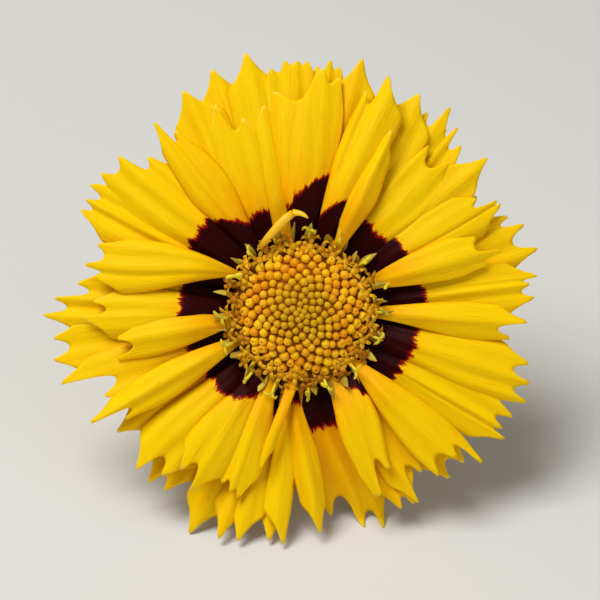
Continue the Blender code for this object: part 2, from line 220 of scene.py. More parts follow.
class Tree:
    """A node tree, with one method that adds any node and a few short names for the common ones."""

    def __init__(self, nodes):
        self.nodes = nodes

    def add(self, kind, sockets=None, out=0, **settings):
        node = self.nodes.nodes.new(kind)
        for name, value in settings.items():
            setattr(node, name, value)
        for name, value in (sockets or {}).items():
            if isinstance(value, Term):
                self.nodes.links.new(value.socket, node.inputs[name])
            else:
                node.inputs[name].default_value = value
        return Term(self, node.outputs[out])

    def attribute(self, name):
        return self.add("ShaderNodeAttribute", out="Fac", attribute_name=name)

    def place(self):
        return self.add("ShaderNodeTexCoord", out="Object")

    def join(self, x, y, z):
        return self.add("ShaderNodeCombineXYZ", {0: x, 1: y, 2: z})

    def noise(self, vector, scale=1.0, detail=2.0, roughness=0.5):
        sockets = {"Vector": vector, "Scale": scale, "Detail": detail, "Roughness": roughness}
        return self.add("ShaderNodeTexNoise", sockets)

    def mix(self, first, second, share):
        """A colour between two colours."""
        return self.add("ShaderNodeMix", {0: share, 6: first, 7: second}, out=2, data_type="RGBA")

    def bump(self, height, distance, strength):
        return self.add("ShaderNodeBump", {"Height": height, "Distance": distance, "Strength": strength})

    def draw(self, low, high, seed):
        """A random value, another one for each point."""
        return self.add("FunctionNodeRandomValue", {2: low, 3: high, "Seed": seed}, out=1)


WHITE_LEVEL = 255
GAMMA = 2.2


def colour(red, green, blue):
    """A colour as it is seen, 0 to 255, as the linear light that a shader takes."""
    return (*((part / WHITE_LEVEL) ** GAMMA for part in (red, green, blue)), 1.0)


def finish(name, look, **fixed):
    """A material whose look says what changes over the surface, by the shader's own socket names."""
    material = bpy.data.materials.new(name)
    material.use_nodes = True
    tree = Tree(material.node_tree)
    shader = material.node_tree.nodes["Principled BSDF"]
    for socket, value in fixed.items():
        shader.inputs[socket.replace("_", " ")].default_value = value
    for socket, value in look(tree).items():
        material.node_tree.links.new(value.socket, shader.inputs[socket])
    print("finish:", name, "with", len(material.node_tree.nodes), "nodes")
    return material


def mottled(first, second, scale, detail, roughness, spread, steps=None):
    """A look that wavers between two colours, with scale patches to a metre; steps narrow the change."""

    def look(tree):
        mottle = tree.noise(tree.place(), scale, detail)
        share = mottle.between(*steps) if steps else mottle
        return {"Base Color": tree.mix(first, second, share), "Roughness": roughness + mottle * spread}

    return look


# %% Floor finish
FLOOR_GREY = colour(214, 212, 206)
FLOOR_PALE = colour(220, 218, 212)


def floor_look(tree):
    return {"Base Color": tree.mix(FLOOR_GREY, FLOOR_PALE, tree.noise(tree.place(), 3.0, 3.0))}


floor.data.materials.append(finish("pale_floor", floor_look, Roughness=0.8))

# %% [markdown]
# The rays
#
# Each coloured strap of a coreopsis is a flower of its own, a ray floret. It is narrow where it leaves the
# disc, widens fast, and ends in a broad tip cut into blunt teeth, with a fold in the sheet behind each cut.
# More than fifty of them lie over each other here. Every ray is read off the flower as a direction, a width
# and the place of each tooth, and one function turns such a row into a sheet, so that all rays share one
# way of growing.
#
# A row gives the ray's direction in degrees, its layer from 0 behind to 5 in front, its width in mm, and
# the direction and reach of each tooth in degrees and mm. What else a row can give is listed in USUAL, and
# root, claw and flare: the direction of the ray's base, the width of that base in mm, and how slowly the
# ray widens. The last two rows stand for no ray that can be seen: they lie low behind the others and close
# the gaps between them.

# %% The rays, one row each
CLAW_WIDTHS = (4.0, 4.0, 3.4, 2.6, 1.3)  # width of a ray's base in each layer, mm
FLARES = (1.2, 1.2, 1.3, 1.5, 1.5)  # how slowly a ray of each layer widens at first
USUAL = {
    "blotch": 14.0,  # how far out its maroon goes, mm
    "slant": 0.0,  # how much further out that is on its left side, mm
    "amber": 0.0,  # how much painted shade deepens its yellow, for a ray in the shade of others, 0 to 1
    "tip": 1.0,  # its width at the end, as a share of its width
    "arch": None,  # how far its edges fall back, mm; None leaves that to chance
    "notch": 1.0,  # how deep its cuts are, as a share of the usual depth
    "blunt": 0.2,  # half the width of a tooth's top, mm
}
Ray = namedtuple("Ray", ["turn", "layer", "width", "teeth", "root", "claw", "flare", *USUAL])


def ray(turn, layer, width, teeth, **given):
    """A ray from its row, with the usual values where the row gives none."""
    step = min(len(FLARES) - 1, int(layer))
    usual = USUAL | {"root": turn, "claw": CLAW_WIDTHS[step], "flare": FLARES[step]}
    return Ray(turn, layer, width, teeth, **(usual | given))


RAYS = [
    ray(
        88.5, 4, 8.8, [(81, 28.9), (85.4, 29.7), (97.2, 27.1)],
        root=90, blotch=15, slant=-2.2, amber=0.35, notch=0.45, claw=2.0, flare=1.4, blunt=0.6,
    ),
    ray(
        92.5, 2, 8.6, [(88.7, 30.7), (91.1, 30.7), (93.8, 30.8), (97.3, 30.0)],
        blotch=16.5, amber=0.1, notch=0.35,
    ),
    ray(84, 1, 6.6, [(81.2, 30.4), (83.6, 31.0), (86.5, 30.2)], blotch=16.8, amber=0.1, notch=0.35),
    ray(76.5, 2, 5.6, [(76.6, 31.8)], root=80, blotch=16.8, amber=0.8),
    ray(
        68.5, 4.5, 6.0, [(69.9, 30.6), (73.7, 28.0)],
        root=75, blotch=13.9, slant=-1.8, amber=0.15, claw=1.6, flare=1.3,
    ),
    ray(61.5, 2, 7.2, [(61.8, 30.3)], amber=0.2),
    ray(63.5, 5, 4.8, [(63.9, 24.5)], root=61, blotch=0, amber=0.2, tip=0.6, claw=1.0, flare=1.4),
    ray(48, 3, 9.4, [(41.3, 25.4), (45.6, 25.5), (52.7, 25.5), (57, 23.7)], blotch=13.4),
    ray(55.5, 1, 5.6, [(54.1, 31.0), (57.8, 28.9)], amber=0.3),
    ray(48.8, 1, 6.4, [(46.2, 28.2), (49.8, 29.5), (51.8, 28.5)], amber=0.3),
    ray(39.5, 2, 4.8, [(39.8, 29.4)], amber=0.4),
    ray(35, 1, 7.0, [(33.3, 25.7), (37, 26.0)], amber=0.3),
    ray(31, 3, 7.0, [(28.5, 27.7), (29.6, 27.4), (33.3, 25.4)], blotch=14.6, notch=0.6),
    ray(19.5, 1, 8.0, [(15.1, 30.0), (21.5, 29.3), (24.9, 27.8)], amber=0.2),
    ray(
        19.3, 4, 5.0, [(14.5, 23.3), (17, 25.3), (23.2, 23.0)],
        root=23, blotch=0, notch=0.3, claw=1.0, flare=1.0,
    ),
    ray(6.3, 2, 6.8, [(3.5, 28.5), (7, 28.0), (8.8, 29.1)], blotch=15.1, notch=0.8),
    ray(-3.2, 4, 4.6, [(-7.3, 25.5), (-2.5, 27.4)], root=0, blotch=0, flare=1.4),
    ray(-16.5, 3, 7.4, [(-22, 29.5), (-17.5, 29.1), (-12.8, 28.4)], blotch=14.3),
    ray(-29.5, 2, 6.6, [(-32.1, 29.3), (-30.2, 28.3), (-26.5, 28.8)], blotch=13.9),
    ray(
        -44.5, 4.5, 6.0, [(-50.2, 26.0), (-43.2, 25.9), (-39.8, 28.6)],
        root=-44, blotch=0, claw=0.8, flare=1.1,
    ),
    ray(-45, 1, 7.0, [(-48.5, 27.2), (-42.8, 27.1)], amber=0.4),
    ray(-57, 2, 5.4, [(-58.7, 27.3), (-53.3, 24.4)], blotch=0, amber=0.35),
    ray(-61.5, 1, 5.6, [(-63.3, 27.0), (-59.7, 27.2)], amber=0.6),
    ray(
        -65.5, 4, 5.8, [(-67.4, 24.3), (-60.8, 21.8)],
        root=-58, blotch=10.1, slant=2.6, tip=0.6, claw=2.8, flare=0.8, blunt=0.5,
    ),
    ray(-75, 1, 8.6, [(-81.6, 25.4), (-74, 27.5), (-69.2, 28.3)], root=-85, blotch=14.4, amber=0.6),
    ray(-86.3, 3, 4.6, [(-85.3, 27.0)], root=-99, blotch=11.3, amber=0.25, tip=0.7, claw=1.3),
    ray(-97.2, 2, 2.8, [(-94.5, 28.4)], blotch=0, arch=0.4),
    ray(-98.5, 0, 4.5, [(-98.3, 28.2)], blotch=13.2, amber=0.5),
    ray(-104, 5, 1.3, [(-105, 19.6)], root=-97, blotch=0, amber=0.1, arch=0.3),
    ray(-105.5, 1, 4.8, [(-105.7, 29.0)], blotch=13.2, amber=0.3),
    ray(-110.2, 0, 4.2, [(-110.2, 29.5)], amber=0.6),
    ray(-117, 1, 5.0, [(-117, 30.5)], amber=0.6),
    ray(
        -111.5, 4, 5.2, [(-115.1, 23.0), (-111.8, 23.6), (-109.1, 24.0)],
        root=-115, blotch=0, notch=0.6, claw=0.7, flare=1.0,
    ),
    ray(-124, 4.3, 6.4, [(-127.6, 24.1), (-121.9, 25.6)], blotch=12.7, slant=-1.2),
    ray(-134.5, 3, 8.2, [(-136.6, 27.9), (-130.6, 26.3)], blotch=13.8),
    ray(-130, 0, 7.0, [(-132, 28.2), (-127.6, 27.7)], amber=0.5),
    ray(-152, 4, 4.8, [(-152.4, 29.0), (-148.5, 25.1)], root=-156, blotch=0, tip=0.75, claw=0.8, flare=0.9),
    ray(-147, 1, 4.8, [(-147.1, 27.0)], amber=0.5),
    ray(-161, 2, 7.2, [(-163.6, 30.7), (-157, 26.2)], blotch=14.6, amber=0.35),
    ray(-170.5, 4, 4.6, [(-172, 22.7), (-165.6, 23.2)], root=-173, blotch=0, amber=0.1, claw=1.0, flare=1.0),
    ray(-171, 1, 7.5, [(-174, 30.6), (-169, 31.0)], amber=0.25),
    ray(-180, 3, 6.6, [(-183, 25.4), (-178.4, 26.8)], blotch=15.1),
    ray(176.5, 1, 8.2, [(172.6, 27.7), (176.8, 30.3), (180.7, 31.7)], blotch=15.1),
    ray(
        166.5, 4, 6.8, [(161.7, 26.2), (167.6, 27.0), (170.5, 25.6)],
        root=148, blotch=0, notch=0.6, claw=0.5, flare=1.3,
    ),
    ray(152, 2, 7.8, [(148.9, 30.3), (152.5, 29.7), (155.3, 29.8)], blotch=16, amber=0.2),
    ray(141, 3, 8.6, [(134.8, 26.7), (139.7, 29.4), (145.4, 29.9)], blotch=16, amber=0.15, notch=0.6),
    ray(
        127, 4, 7.0, [(124.9, 26.9), (127.9, 29.3)],
        root=126, blotch=14, slant=1.6, amber=0.35, tip=0.62, flare=1.6,
    ),
    ray(118.3, 2, 7.0, [(118.3, 30.7)], root=124, blotch=13, amber=0.3),
    ray(110.8, 3, 7.4, [(107, 24.7), (112.8, 27.4)], root=114, blotch=13.4, amber=0.25, notch=0.6),
    ray(101.2, 3, 5.2, [(100.5, 25.6)], root=106, blotch=0, amber=0.1),
    ray(110.4, 1, 7.0, [(110.4, 31.7)], amber=0.1),
    ray(102.3, 2, 6.6, [(102.3, 32.4)]),
    ray(165, 0, 6.6, [(163, 24.4), (167, 24.0)]),
    ray(-7, 0, 5.6, [(-7, 24.5)], blotch=15.5),
]
print(len(RAYS), "rays at", len({one.layer for one in RAYS}), "heights")

# %% [markdown]
# A ray's outline
#
# The end of a ray is worked out across its width: up a round shoulder to the first tooth, then from tooth
# to cut to tooth, and down the other shoulder. A tooth is a small finger with a blunt top, a cut is a round
# bay between two of them, and the shoulder is an S, as on the real flower.

# %% A ray's outline
RAY_ROOT = 8.2  # distance from the axis at which a ray leaves the disc, mm
NOTCH = 2.2  # greatest depth of the cut between two teeth, mm
NOTCH_SLOPE = 0.5  # depth of a cut for each mm between its teeth
LEAST_NOTCH = 0.4
SHOULDER = 0.86  # where a ray's sides end, as a share of its reach
SHOULDER_ROOM = 0.35  # least distance from an outer tooth to the ray's side, mm
WIDEST = 0.92  # where a ray is widest, as a share of the length of its sides
CRINKLE = 3.0  # a fold is shallower where each tooth has less width than this, mm
BAY = 2.3  # how hollow the flank of a tooth is
ROUNDING = 0.25  # share of a shoulder's drop that is its rounded corner
CORNER = 5  # how tight that corner is
MOST_BLUNT = 0.4  # greatest share of a flank that the tooth's blunt top takes
RAY_COLUMNS = 30  # columns across a ray
LEAST_STEPS = 6  # fewest columns from one knot to the next


def tooth_places(one):
    """Each tooth as (offset across in mm, reach along the ray in mm)."""
    places = []
    for turn, reach in one.teeth:
        angle = math.radians(turn - one.turn)
        places.append((reach * math.sin(angle), reach * math.cos(angle)))
    return places


def tip_half(one):
    """Half the ray's width where its sides end."""
    outermost = max(abs(across) for across, _ in tooth_places(one))
    return max(one.width / 2 * one.tip, outermost + SHOULDER_ROOM)


def tip_knots(one):
    """Shoulder, teeth, cuts and shoulder, from right to left: (offset across, reach, fold from -1 to 1)."""
    teeth = tooth_places(one)
    half = tip_half(one)
    knots = [(-half, SHOULDER * teeth[0][1], 0.0)]
    for here, after in zip(teeth, teeth[1:]):
        cut = one.notch * min(NOTCH, NOTCH_SLOPE * (after[0] - here[0]) + LEAST_NOTCH)
        knots += [(*here, 1.0), ((here[0] + after[0]) / 2, min(here[1], after[1]) - cut, -1.0)]
    return knots + [(*teeth[-1], 1.0), (half, SHOULDER * teeth[-1][1], 0.0)]


def flank(down, run, cut, blunt):
    """How far the edge has dropped from a tooth towards a cut or shoulder, 0 to 1; run is that way in mm."""
    blunt = min(MOST_BLUNT, blunt / run)
    drop = max(0.0, down - blunt) / (1 - blunt)
    bay = 1 - (1 - drop) ** BAY
    return bay if cut else (1 - ROUNDING) * bay + ROUNDING * drop**CORNER


def tip_columns(one, columns):
    """The tip's outline at evenly spread columns between its knots: (offset across, reach, fold)."""
    knots = tip_knots(one)
    steps = max(LEAST_STEPS, round(columns / (len(knots) - 1)))
    depth = min(1.0, one.width / len(one.teeth) / CRINKLE) ** 2
    line = []
    for here, after in zip(knots, knots[1:]):
        top, foot = (here, after) if here[2] > after[2] else (after, here)
        for step in range(steps):
            share = step / steps
            down = share if here is top else 1 - share
            reach = top[1] + (foot[1] - top[1]) * flank(down, abs(foot[0] - top[0]), foot[2] < 0, one.blunt)
            fold = depth * (top[2] + (foot[2] - top[2]) * smooth(down))
            line.append((here[0] + (after[0] - here[0]) * share, reach, fold))
    return line + [knots[-1]]


def half_width(one, along):
    """Half the ray's width at a distance from the axis: a narrow claw, a belly, and the width of the tip."""
    reach = SHOULDER * max(length for _, length in one.teeth)
    share = min(1.0, max(0.0, (along - RAY_ROOT) / (reach - RAY_ROOT)))
    claw = min(one.claw, one.width) / 2
    rise = math.sin(min(1.0, share / WIDEST) * math.pi / 2) ** one.flare
    return claw + (one.width / 2 - claw) * rise + (tip_half(one) - one.width / 2) * smooth(share * 2 - 1)


print("outline of the first ray:", len(tip_columns(RAYS[0], RAY_COLUMNS)), "columns")

# %% [markdown]
# A ray's form
#
# A ray rises from its root to the height of its layer, has two or three long folds, and is never quite
# flat: its edges fall back a little and its end lifts or drops. The two lowest tips of the back layers
# carry the flower, so those are bent back to the surface, and the other low tips are held just clear of it.
# What would still reach below the surface is pressed flat on it.

# %% A ray's form
ROOT_LEVEL = -2.2  # height of the lowest layer's roots, mm
ROOT_STEP = 0.65  # how much higher the next layer's roots are, mm
LAYER_LEVEL = -1.6  # height of the lowest layer out on the flower, mm
LAYER_STEP = 0.85  # how much higher the next layer is, mm
RISE_LENGTH = 6.5  # length over which a ray rises from its root to its layer, mm
SHEET = 0.25  # thickness of a ray, mm
FOLD_HEIGHT = 0.24  # height of the long folds between the cuts, mm
PLEAT_HEIGHT = 0.12  # height of the shallow pleats over them, mm
PLEAT_WIDTH = 2.6  # distance between two of them, mm
PLEAT_SHIFT = (-0.8, 0.8)  # how far they are shifted, radians
HUMP = 0.8  # how much higher a ray's middle is than its ends, mm
HUMP_PLACE = 0.85  # below 1 the hump is nearer to the root
FRONT_ARCH = (0.8, 1.3)  # how far the edges of a front ray fall back, mm
BACK_ARCH = (0.2, 0.8)
DROOP = (-0.5, 0.25)  # how far a ray's end is lifted, mm
TWIST = (-0.4, 0.4)  # how far the left edge of its end is lifted over the middle, mm
FRONT_LAYER = 3  # the first layer of the front piece
CAD_BLADE = 0.6  # thickness of the solid that a ray replaces, mm
SURFACE_SINK = 0.25  # how far below the surface the resting tips are aimed before they are pressed flat, mm
TIP_CLEARANCE = 0.6  # how far above it the other tips are kept, mm
RESTING_RAYS = (-117, -75)  # directions of the two rays that carry the flower
RESTING_ARCH = 0.1
RAY_ROWS = 30
ROW_SPACING = 0.9  # below 1 the rows stand closer towards the tip


def surface_height(up, forward):
    """Height over the surface of a point given up the flower and along its axis, mm."""
    return HEAD_HEIGHT + up * math.cos(TILT) + forward * math.sin(TILT)


def tip_bend(one):
    """How far the ray's tip is bent along the axis, so that only the resting rays reach the surface."""
    bend = 0.0
    for turn, reach in one.teeth:
        level = LAYER_LEVEL + LAYER_STEP * one.layer - CAD_BLADE
        height = surface_height(polar(turn, reach).y, level)
        if one.turn in RESTING_RAYS:
            bend = min(bend, (-SURFACE_SINK - height) / math.sin(TILT))
        elif height < TIP_CLEARANCE:
            bend = max(bend, (TIP_CLEARANCE - height) / math.sin(TILT))
    return bend


def ray_point(one, along, share, fold, bend, arch, droop, twist, phase):
    """A point of the ray's upper face: along is its distance out, share runs from -1 to 1 across it."""
    reach = max(length for _, length in one.teeth)
    out = (along - RAY_ROOT) / (reach - RAY_ROOT)
    sway = (one.root - one.turn) * (1 - out) ** 2
    half = half_width(one, along)
    flat = polar(one.turn + sway, 1.0) * along + polar(one.turn + sway + 90, 1.0) * (share * half)
    low = ROOT_LEVEL + ROOT_STEP * one.layer
    high = LAYER_LEVEL + LAYER_STEP * one.layer
    height = low + (high - low) * smooth((along - RAY_ROOT) / RISE_LENGTH)
    height += FOLD_HEIGHT * min(1.0, one.notch) * fold * smooth(out * 1.5 - 0.2)
    height += PLEAT_HEIGHT * math.cos(math.pi * share * one.width / PLEAT_WIDTH + phase) * smooth(out * 2.0)
    height += HUMP * math.sin(math.pi * min(1.0, max(0.0, out)) ** HUMP_PLACE)
    height += droop * out**3 + twist * share * out**1.5 - arch * share * share * smooth(out * 2.5)
    height += bend * max(0.0, out) ** 2
    under = SHEET - surface_height(flat.y, height)
    if under > 0:  # pressed flat where it meets the surface
        height += under / math.sin(TILT)
    return Vector((flat.x, flat.y, height))


def ray_sheet(form, layers, one, chance):
    """Adds one ray to the form as an open sheet, and writes on it what its finish reads."""
    line = tip_columns(one, RAY_COLUMNS)
    bend = tip_bend(one)
    arch = one.arch
    if arch is None:
        arch = chance.uniform(*(FRONT_ARCH if one.layer >= FRONT_LAYER else BACK_ARCH))
    droop = chance.uniform(*DROOP)
    twist = chance.uniform(*TWIST)
    phase = chance.uniform(*PLEAT_SHIFT)
    seed = chance.random()
    if one.turn in RESTING_RAYS:
        arch, droop, twist = RESTING_ARCH, 0.0, 0.0
    made = bmesh.ops.create_grid(form, x_segments=len(line) - 1, y_segments=RAY_ROWS, size=1.0)
    for index, vert in enumerate(made["verts"]):
        row, column = divmod(index, len(line))
        across, reach, fold = line[column]
        along = RAY_ROOT + (reach - RAY_ROOT) * (row / RAY_ROWS) ** ROW_SPACING
        share = across / tip_half(one)
        vert.co = ray_point(one, along, share, fold, bend, arch, droop, twist, phase)
        values = {"out": along, "across": share, "across_mm": share * half_width(one, along), "seed": seed}
        values |= {"blotch": one.blotch + one.slant * share, "amber": one.amber}
        values |= {"to_tip": reach - along, "fold": fold}
        for name, value in values.items():
            vert[layers[name]] = value


print("resting rays:", [round(tip_bend(one), 1) for one in RAYS if one.turn in RESTING_RAYS], "mm of bend")

# %% [markdown]
# Making the ray pieces
#
# The layers behind and the layers in front are two pieces, so that each stays light. Solidify gives the
# sheets their thickness on the side away from the viewer, and the finished mesh then goes to its place with
# the head's matrix.

# %% Making the ray pieces
RAY_SEED = 21
RAY_VALUES = ("out", "across", "across_mm", "seed", "blotch", "amber", "to_tip", "fold")


def plain_mesh(thing, matrix=HEAD):
    """Applies every modifier, moves the mesh to the flower's place, and leaves the object at the origin."""
    bpy.context.view_layer.update()
    mesh = bpy.data.meshes.new_from_object(thing.evaluated_get(bpy.context.evaluated_depsgraph_get()))
    thing.modifiers.clear()
    thing.data = mesh
    mesh.transform(matrix)
    mesh.shade_smooth()
    return thing


def object_of(name, form):
    """An object with the form as its mesh."""
    mesh = bpy.data.meshes.new(name)
    form.to_mesh(mesh)
    form.free()
    return new_object(name, mesh)


def thicken(thing, wall):
    """Gives a sheet its thickness, on the side away from the viewer."""
    modifier = thing.modifiers.new("thickness", "SOLIDIFY")
    modifier.thickness = wall
    modifier.offset = -1
    return modifier


def place_piece(thing, material, node):
    """Gives a finished piece its finish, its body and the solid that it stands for."""
    if material.name not in thing.data.materials:
        thing.data.materials.clear()
        thing.data.materials.append(material)
    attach(thing, "root")
    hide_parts(node)
    print(thing.name, "has", sum(len(face.vertices) - 2 for face in thing.data.polygons), "triangles")


def ray_piece(name, rays, chance):
    """The rays as one piece, with one slot for their upper faces and one for their undersides."""
    form = bmesh.new()
    layers = {value: form.verts.layers.float.new(value) for value in RAY_VALUES}
    for one in rays:
        ray_sheet(form, layers, one, chance)
    bmesh.ops.reverse_faces(form, faces=form.faces[:])  # so that they face the viewer
    thing = object_of(name, form)
    for _ in range(2):
        thing.data.materials.append(None)
    thicken(thing, SHEET).material_offset = 1
    return plain_mesh(thing)


chance = random.Random(RAY_SEED)
rays_back = ray_piece("rays_back", [one for one in RAYS if one.layer < FRONT_LAYER], chance)
rays_front = ray_piece("rays_front", [one for one in RAYS if one.layer >= FRONT_LAYER], chance)

# %% [markdown]
# The ray's finish
#
# The yellow is warm and slightly deeper towards the base, with fine veins that run its length. Painted
# shade deepens it further at the ray's edges, where the rays lie against each other, and on the rays that
# lie in the shade of others. At the base sits the maroon blotch. Its outer edge is ragged, because the
# colour runs further out along the veins, and a thin red fringe leads over to the yellow. The very tips of
# the teeth are paler. The underside is plain yellow, greenish at the base, and has no blotch.

# %% The ray's finish
BRIGHT_YELLOW = colour(252, 202, 0)
WARM_YELLOW = colour(248, 176, 0)
AMBER = colour(220, 124, 0)
PALE_TIP = colour(250, 212, 80)
FRINGE_RED = colour(150, 14, 0)
MAROON = colour(60, 0, 5)
DARK_MAROON = colour(32, 0, 3)
UNDER_YELLOW = colour(242, 192, 18)
UNDER_BASE = colour(196, 164, 40)
BROAD = (0.9, 0.12, 3.0, 0.5)  # a noise's patches for each mm across and along, its detail and its roughness
VEINS = (7.0, 0.18, 2.0, 0.6)
RAGS = (1.4, 0.35, 4.0, 0.7)
RAG_DEPTH = 3.4  # how far the blotch's edge wanders in and out, mm
BLOTCH_CURVE = 0.3  # how much less far out the blotch goes at the sides, mm
SEED_STEP = 40  # keeps the noises of two rays apart
RAY_SHINE = {"Specular_IOR_Level": 0.06}
RAY_GLOW = {"Subsurface_Weight": 0.3, "Subsurface_Radius": (1.0, 0.85, 0.05), "Subsurface_Scale": 0.0006}


def ray_noise(tree, across, along, detail, roughness):
    """A noise that is drawn out along the ray and differs from ray to ray."""
    seed = tree.attribute("seed") * SEED_STEP
    vector = tree.join(tree.attribute("across_mm") * across, tree.attribute("out") * along, seed)
    return tree.noise(vector, 1.0, detail, roughness)


def ray_look(tree):
    out = tree.attribute("out")
    across = tree.attribute("across")
    broad = ray_noise(tree, *BROAD)
    veins = ray_noise(tree, *VEINS)
    edge = tree.attribute("blotch") + (ray_noise(tree, *RAGS) - 0.5) * RAG_DEPTH
    inside = edge - across * across * BLOTCH_CURVE - out
    # painted shade at the ray's edges, where it lies against the rays beside it
    side = across.math("ABSOLUTE").between(0.75, 1.0)
    base = out.between(20.0, 9.0)
    # painted shade on the rays that lie in the shade of others, strongest towards the disc
    amber = tree.attribute("amber") * (0.3 + out.between(29.0, 17.0) * 0.7)
    tone_and_shade = base * 0.55 + side * 0.2 + amber * 0.8 + (broad - 0.5) * 0.7
    yellow = tree.mix(BRIGHT_YELLOW, WARM_YELLOW, tone_and_shade.between(0.0, 0.6))
    yellow = tree.mix(yellow, AMBER, tone_and_shade.between(0.45, 1.2))
    yellow = tree.mix(yellow, AMBER, veins.between(0.5, 0.75) * 0.28)
    pale = tree.attribute("to_tip").between(0.45, 0.0) * tree.attribute("fold").between(0.5, 1.0)
    yellow = tree.mix(yellow, PALE_TIP, pale)
    dark = tree.mix(MAROON, DARK_MAROON, veins)
    stained = tree.mix(yellow, FRINGE_RED, inside.between(-0.35, 0.05))
    return {
        "Base Color": tree.mix(stained, dark, inside.between(0.0, 0.45)),
        "Normal": tree.bump(veins + broad * 0.5, 0.00012, 0.5),
        "Roughness": 0.42 + veins * 0.16,
    }


def under_look(tree):
    veins = ray_noise(tree, *VEINS)
    yellow = tree.mix(UNDER_YELLOW, UNDER_BASE, tree.attribute("out").between(17.0, 10.0))
    return {
        "Base Color": tree.mix(yellow, AMBER, veins.between(0.5, 0.75) * 0.3),
        "Roughness": 0.5 + veins * 0.14,
    }


ray_finish = finish("ray_yellow", ray_look, **RAY_SHINE, **RAY_GLOW)
under_finish = finish("ray_underside", under_look, **RAY_SHINE, **RAY_GLOW)
for piece in (rays_back, rays_front):
    piece.data.materials[0] = ray_finish
    piece.data.materials[1] = under_finish
    place_piece(piece, ray_finish, "ray_florets")

# %% [markdown]
# The disc
#
# The middle of the flower is a low dome of closed florets. They stand in the spiral order of all such
# heads: each bud is turned by the golden angle from the one before and set a little further out, so they
# pack evenly. That is a rule, so Geometry Nodes grows them: points on the dome, one bud on each, then
# Realize Instances. The bud itself is a small turned form with five lobes round a pit, which is deeper in
# the patterns that have begun to open.

# %% One closed floret
BUD_SIDES = 15
BUD_LEVELS = (0.22, 0.45, 0.7, 0.9, 1.0)  # the rings of a bud, as shares of its radius
BUD_RADIUS = 0.7
BUD_HEIGHT = 0.85
BUD_FOOT = 0.25  # how far the last ring is sunk, mm
BUD_KINDS = 6  # the first half are closed, the others have begun to open
PIT_REACH = 0.45  # how wide the pit is, as a share of the bud
CLOSED_PIT = (0.0, 0.15)  # its depth, mm
OPEN_PIT = (0.3, 0.5)
CLEFT = (0.1, 0.2)  # how deep the clefts between the lobes are
LOBES = 5
BUD_SEED = 4


def bud_mesh(pit, cleft):
    """A floret standing on the origin: round below, five lobes round a pit, with clefts between them."""
    form = bmesh.new()
    top = form.verts.new((0, 0, BUD_HEIGHT - pit))
    rings = []
    for share in BUD_LEVELS:
        height = BUD_HEIGHT * (1 - share**3.0) - pit * max(0.0, 1 - share / PIT_REACH) ** 2
        height -= BUD_FOOT if share == 1 else 0
        ring = []
        for side in range(BUD_SIDES):
            turn = 2 * math.pi * side / BUD_SIDES
            lobe = abs(math.cos(LOBES / 2 * turn))
            out = BUD_RADIUS * share * (1 - cleft * (1 - lobe))
            dip = cleft * (1 - lobe) * (1 - share * 0.6)
            ring.append(form.verts.new((out * math.cos(turn), out * math.sin(turn), height - dip)))
        rings.append(ring)
    for side in range(BUD_SIDES):
        after = (side + 1) % BUD_SIDES
        form.faces.new((top, rings[0][side], rings[0][after]))
        for inner, outer in zip(rings, rings[1:]):
            form.faces.new((inner[side], outer[side], outer[after], inner[after]))
    form.faces.new(reversed(rings[-1]))
    return form


def store_tip(mesh):
    """Writes how near each point is to the bud's top, 0 at its foot and 1 at its top."""
    tip = mesh.attributes.new("tip", "FLOAT", "POINT")
    for vert in mesh.vertices:
        tip.data[vert.index].value = max(0.0, min(1.0, vert.co.z / BUD_HEIGHT))


def pattern_object(name, form, group):
    """An object that only Geometry Nodes use, kept in its own collection."""
    thing = object_of(name, form)
    bpy.context.scene.collection.objects.unlink(thing)
    group.objects.link(thing)
    thing.data.shade_smooth()
    return thing


chance = random.Random(BUD_SEED)
bud_patterns = bpy.data.collections.new("bud_patterns")
for number in range(BUD_KINDS):
    pit = chance.uniform(*(OPEN_PIT if number >= BUD_KINDS / 2 else CLOSED_PIT))
    form = bud_mesh(pit, chance.uniform(*CLEFT))
    store_tip(pattern_object(f"bud_pattern_{number}", form, bud_patterns).data)

# %% The tree that grows the disc
DISC_RADIUS = 7.3  # of the dome under the buds, mm
DISC_RIM = 1.3  # height of its rim, mm
DISC_RISE = 2.6  # how much higher its middle is, mm
BUD_COUNT = 200
BUD_SPREAD = 7.75  # distance of the outermost buds from the axis, mm
BUD_CROWDING = 0.6  # 0.5 sets the buds equally close, more sets those in the middle closer
BUD_STRAY = 0.012  # how far a bud strays from its distance, as a share of the disc
BUD_SWING = 0.25  # how far it strays from its turn, radians, less so further out
BUD_SPIN = 1.2  # how far it is spun about its own axis, radians
BUD_SIZES = (0.9, 1.12)
MIDDLE_SIZE = 0.62  # size of the buds in the middle
RIM_GAIN = 0.4  # how much larger they are at the rim
OPEN_FROM = 0.82  # share of the disc from which the buds have begun to open
OPEN_STRAY = 0.12
GOLDEN_TURN = math.pi * (3 - math.sqrt(5))


def new_tree(name, kinds):
    """A Geometry Nodes tree with named inputs, and a Term for each of them."""
    nodes = bpy.data.node_groups.new(name, "GeometryNodeTree")
    nodes.interface.new_socket("Geometry", in_out="OUTPUT", socket_type="NodeSocketGeometry")
    for label, kind in kinds.items():
        nodes.interface.new_socket(label, in_out="INPUT", socket_type="NodeSocket" + kind)
    entry = nodes.nodes.new("NodeGroupInput")
    tree = Tree(nodes)
    return tree, {label: Term(tree, entry.outputs[label]) for label in kinds}


def close_tree(tree, geometry, material):
    """Ends a tree in plain faces with their finish."""
    real = tree.add("GeometryNodeRealizeInstances", {"Geometry": geometry})
    done = tree.add("GeometryNodeSetMaterial", {"Geometry": real, "Material": material})
    exit_node = tree.nodes.nodes.new("NodeGroupOutput")
    tree.nodes.links.new(done.socket, exit_node.inputs["Geometry"])
    return tree


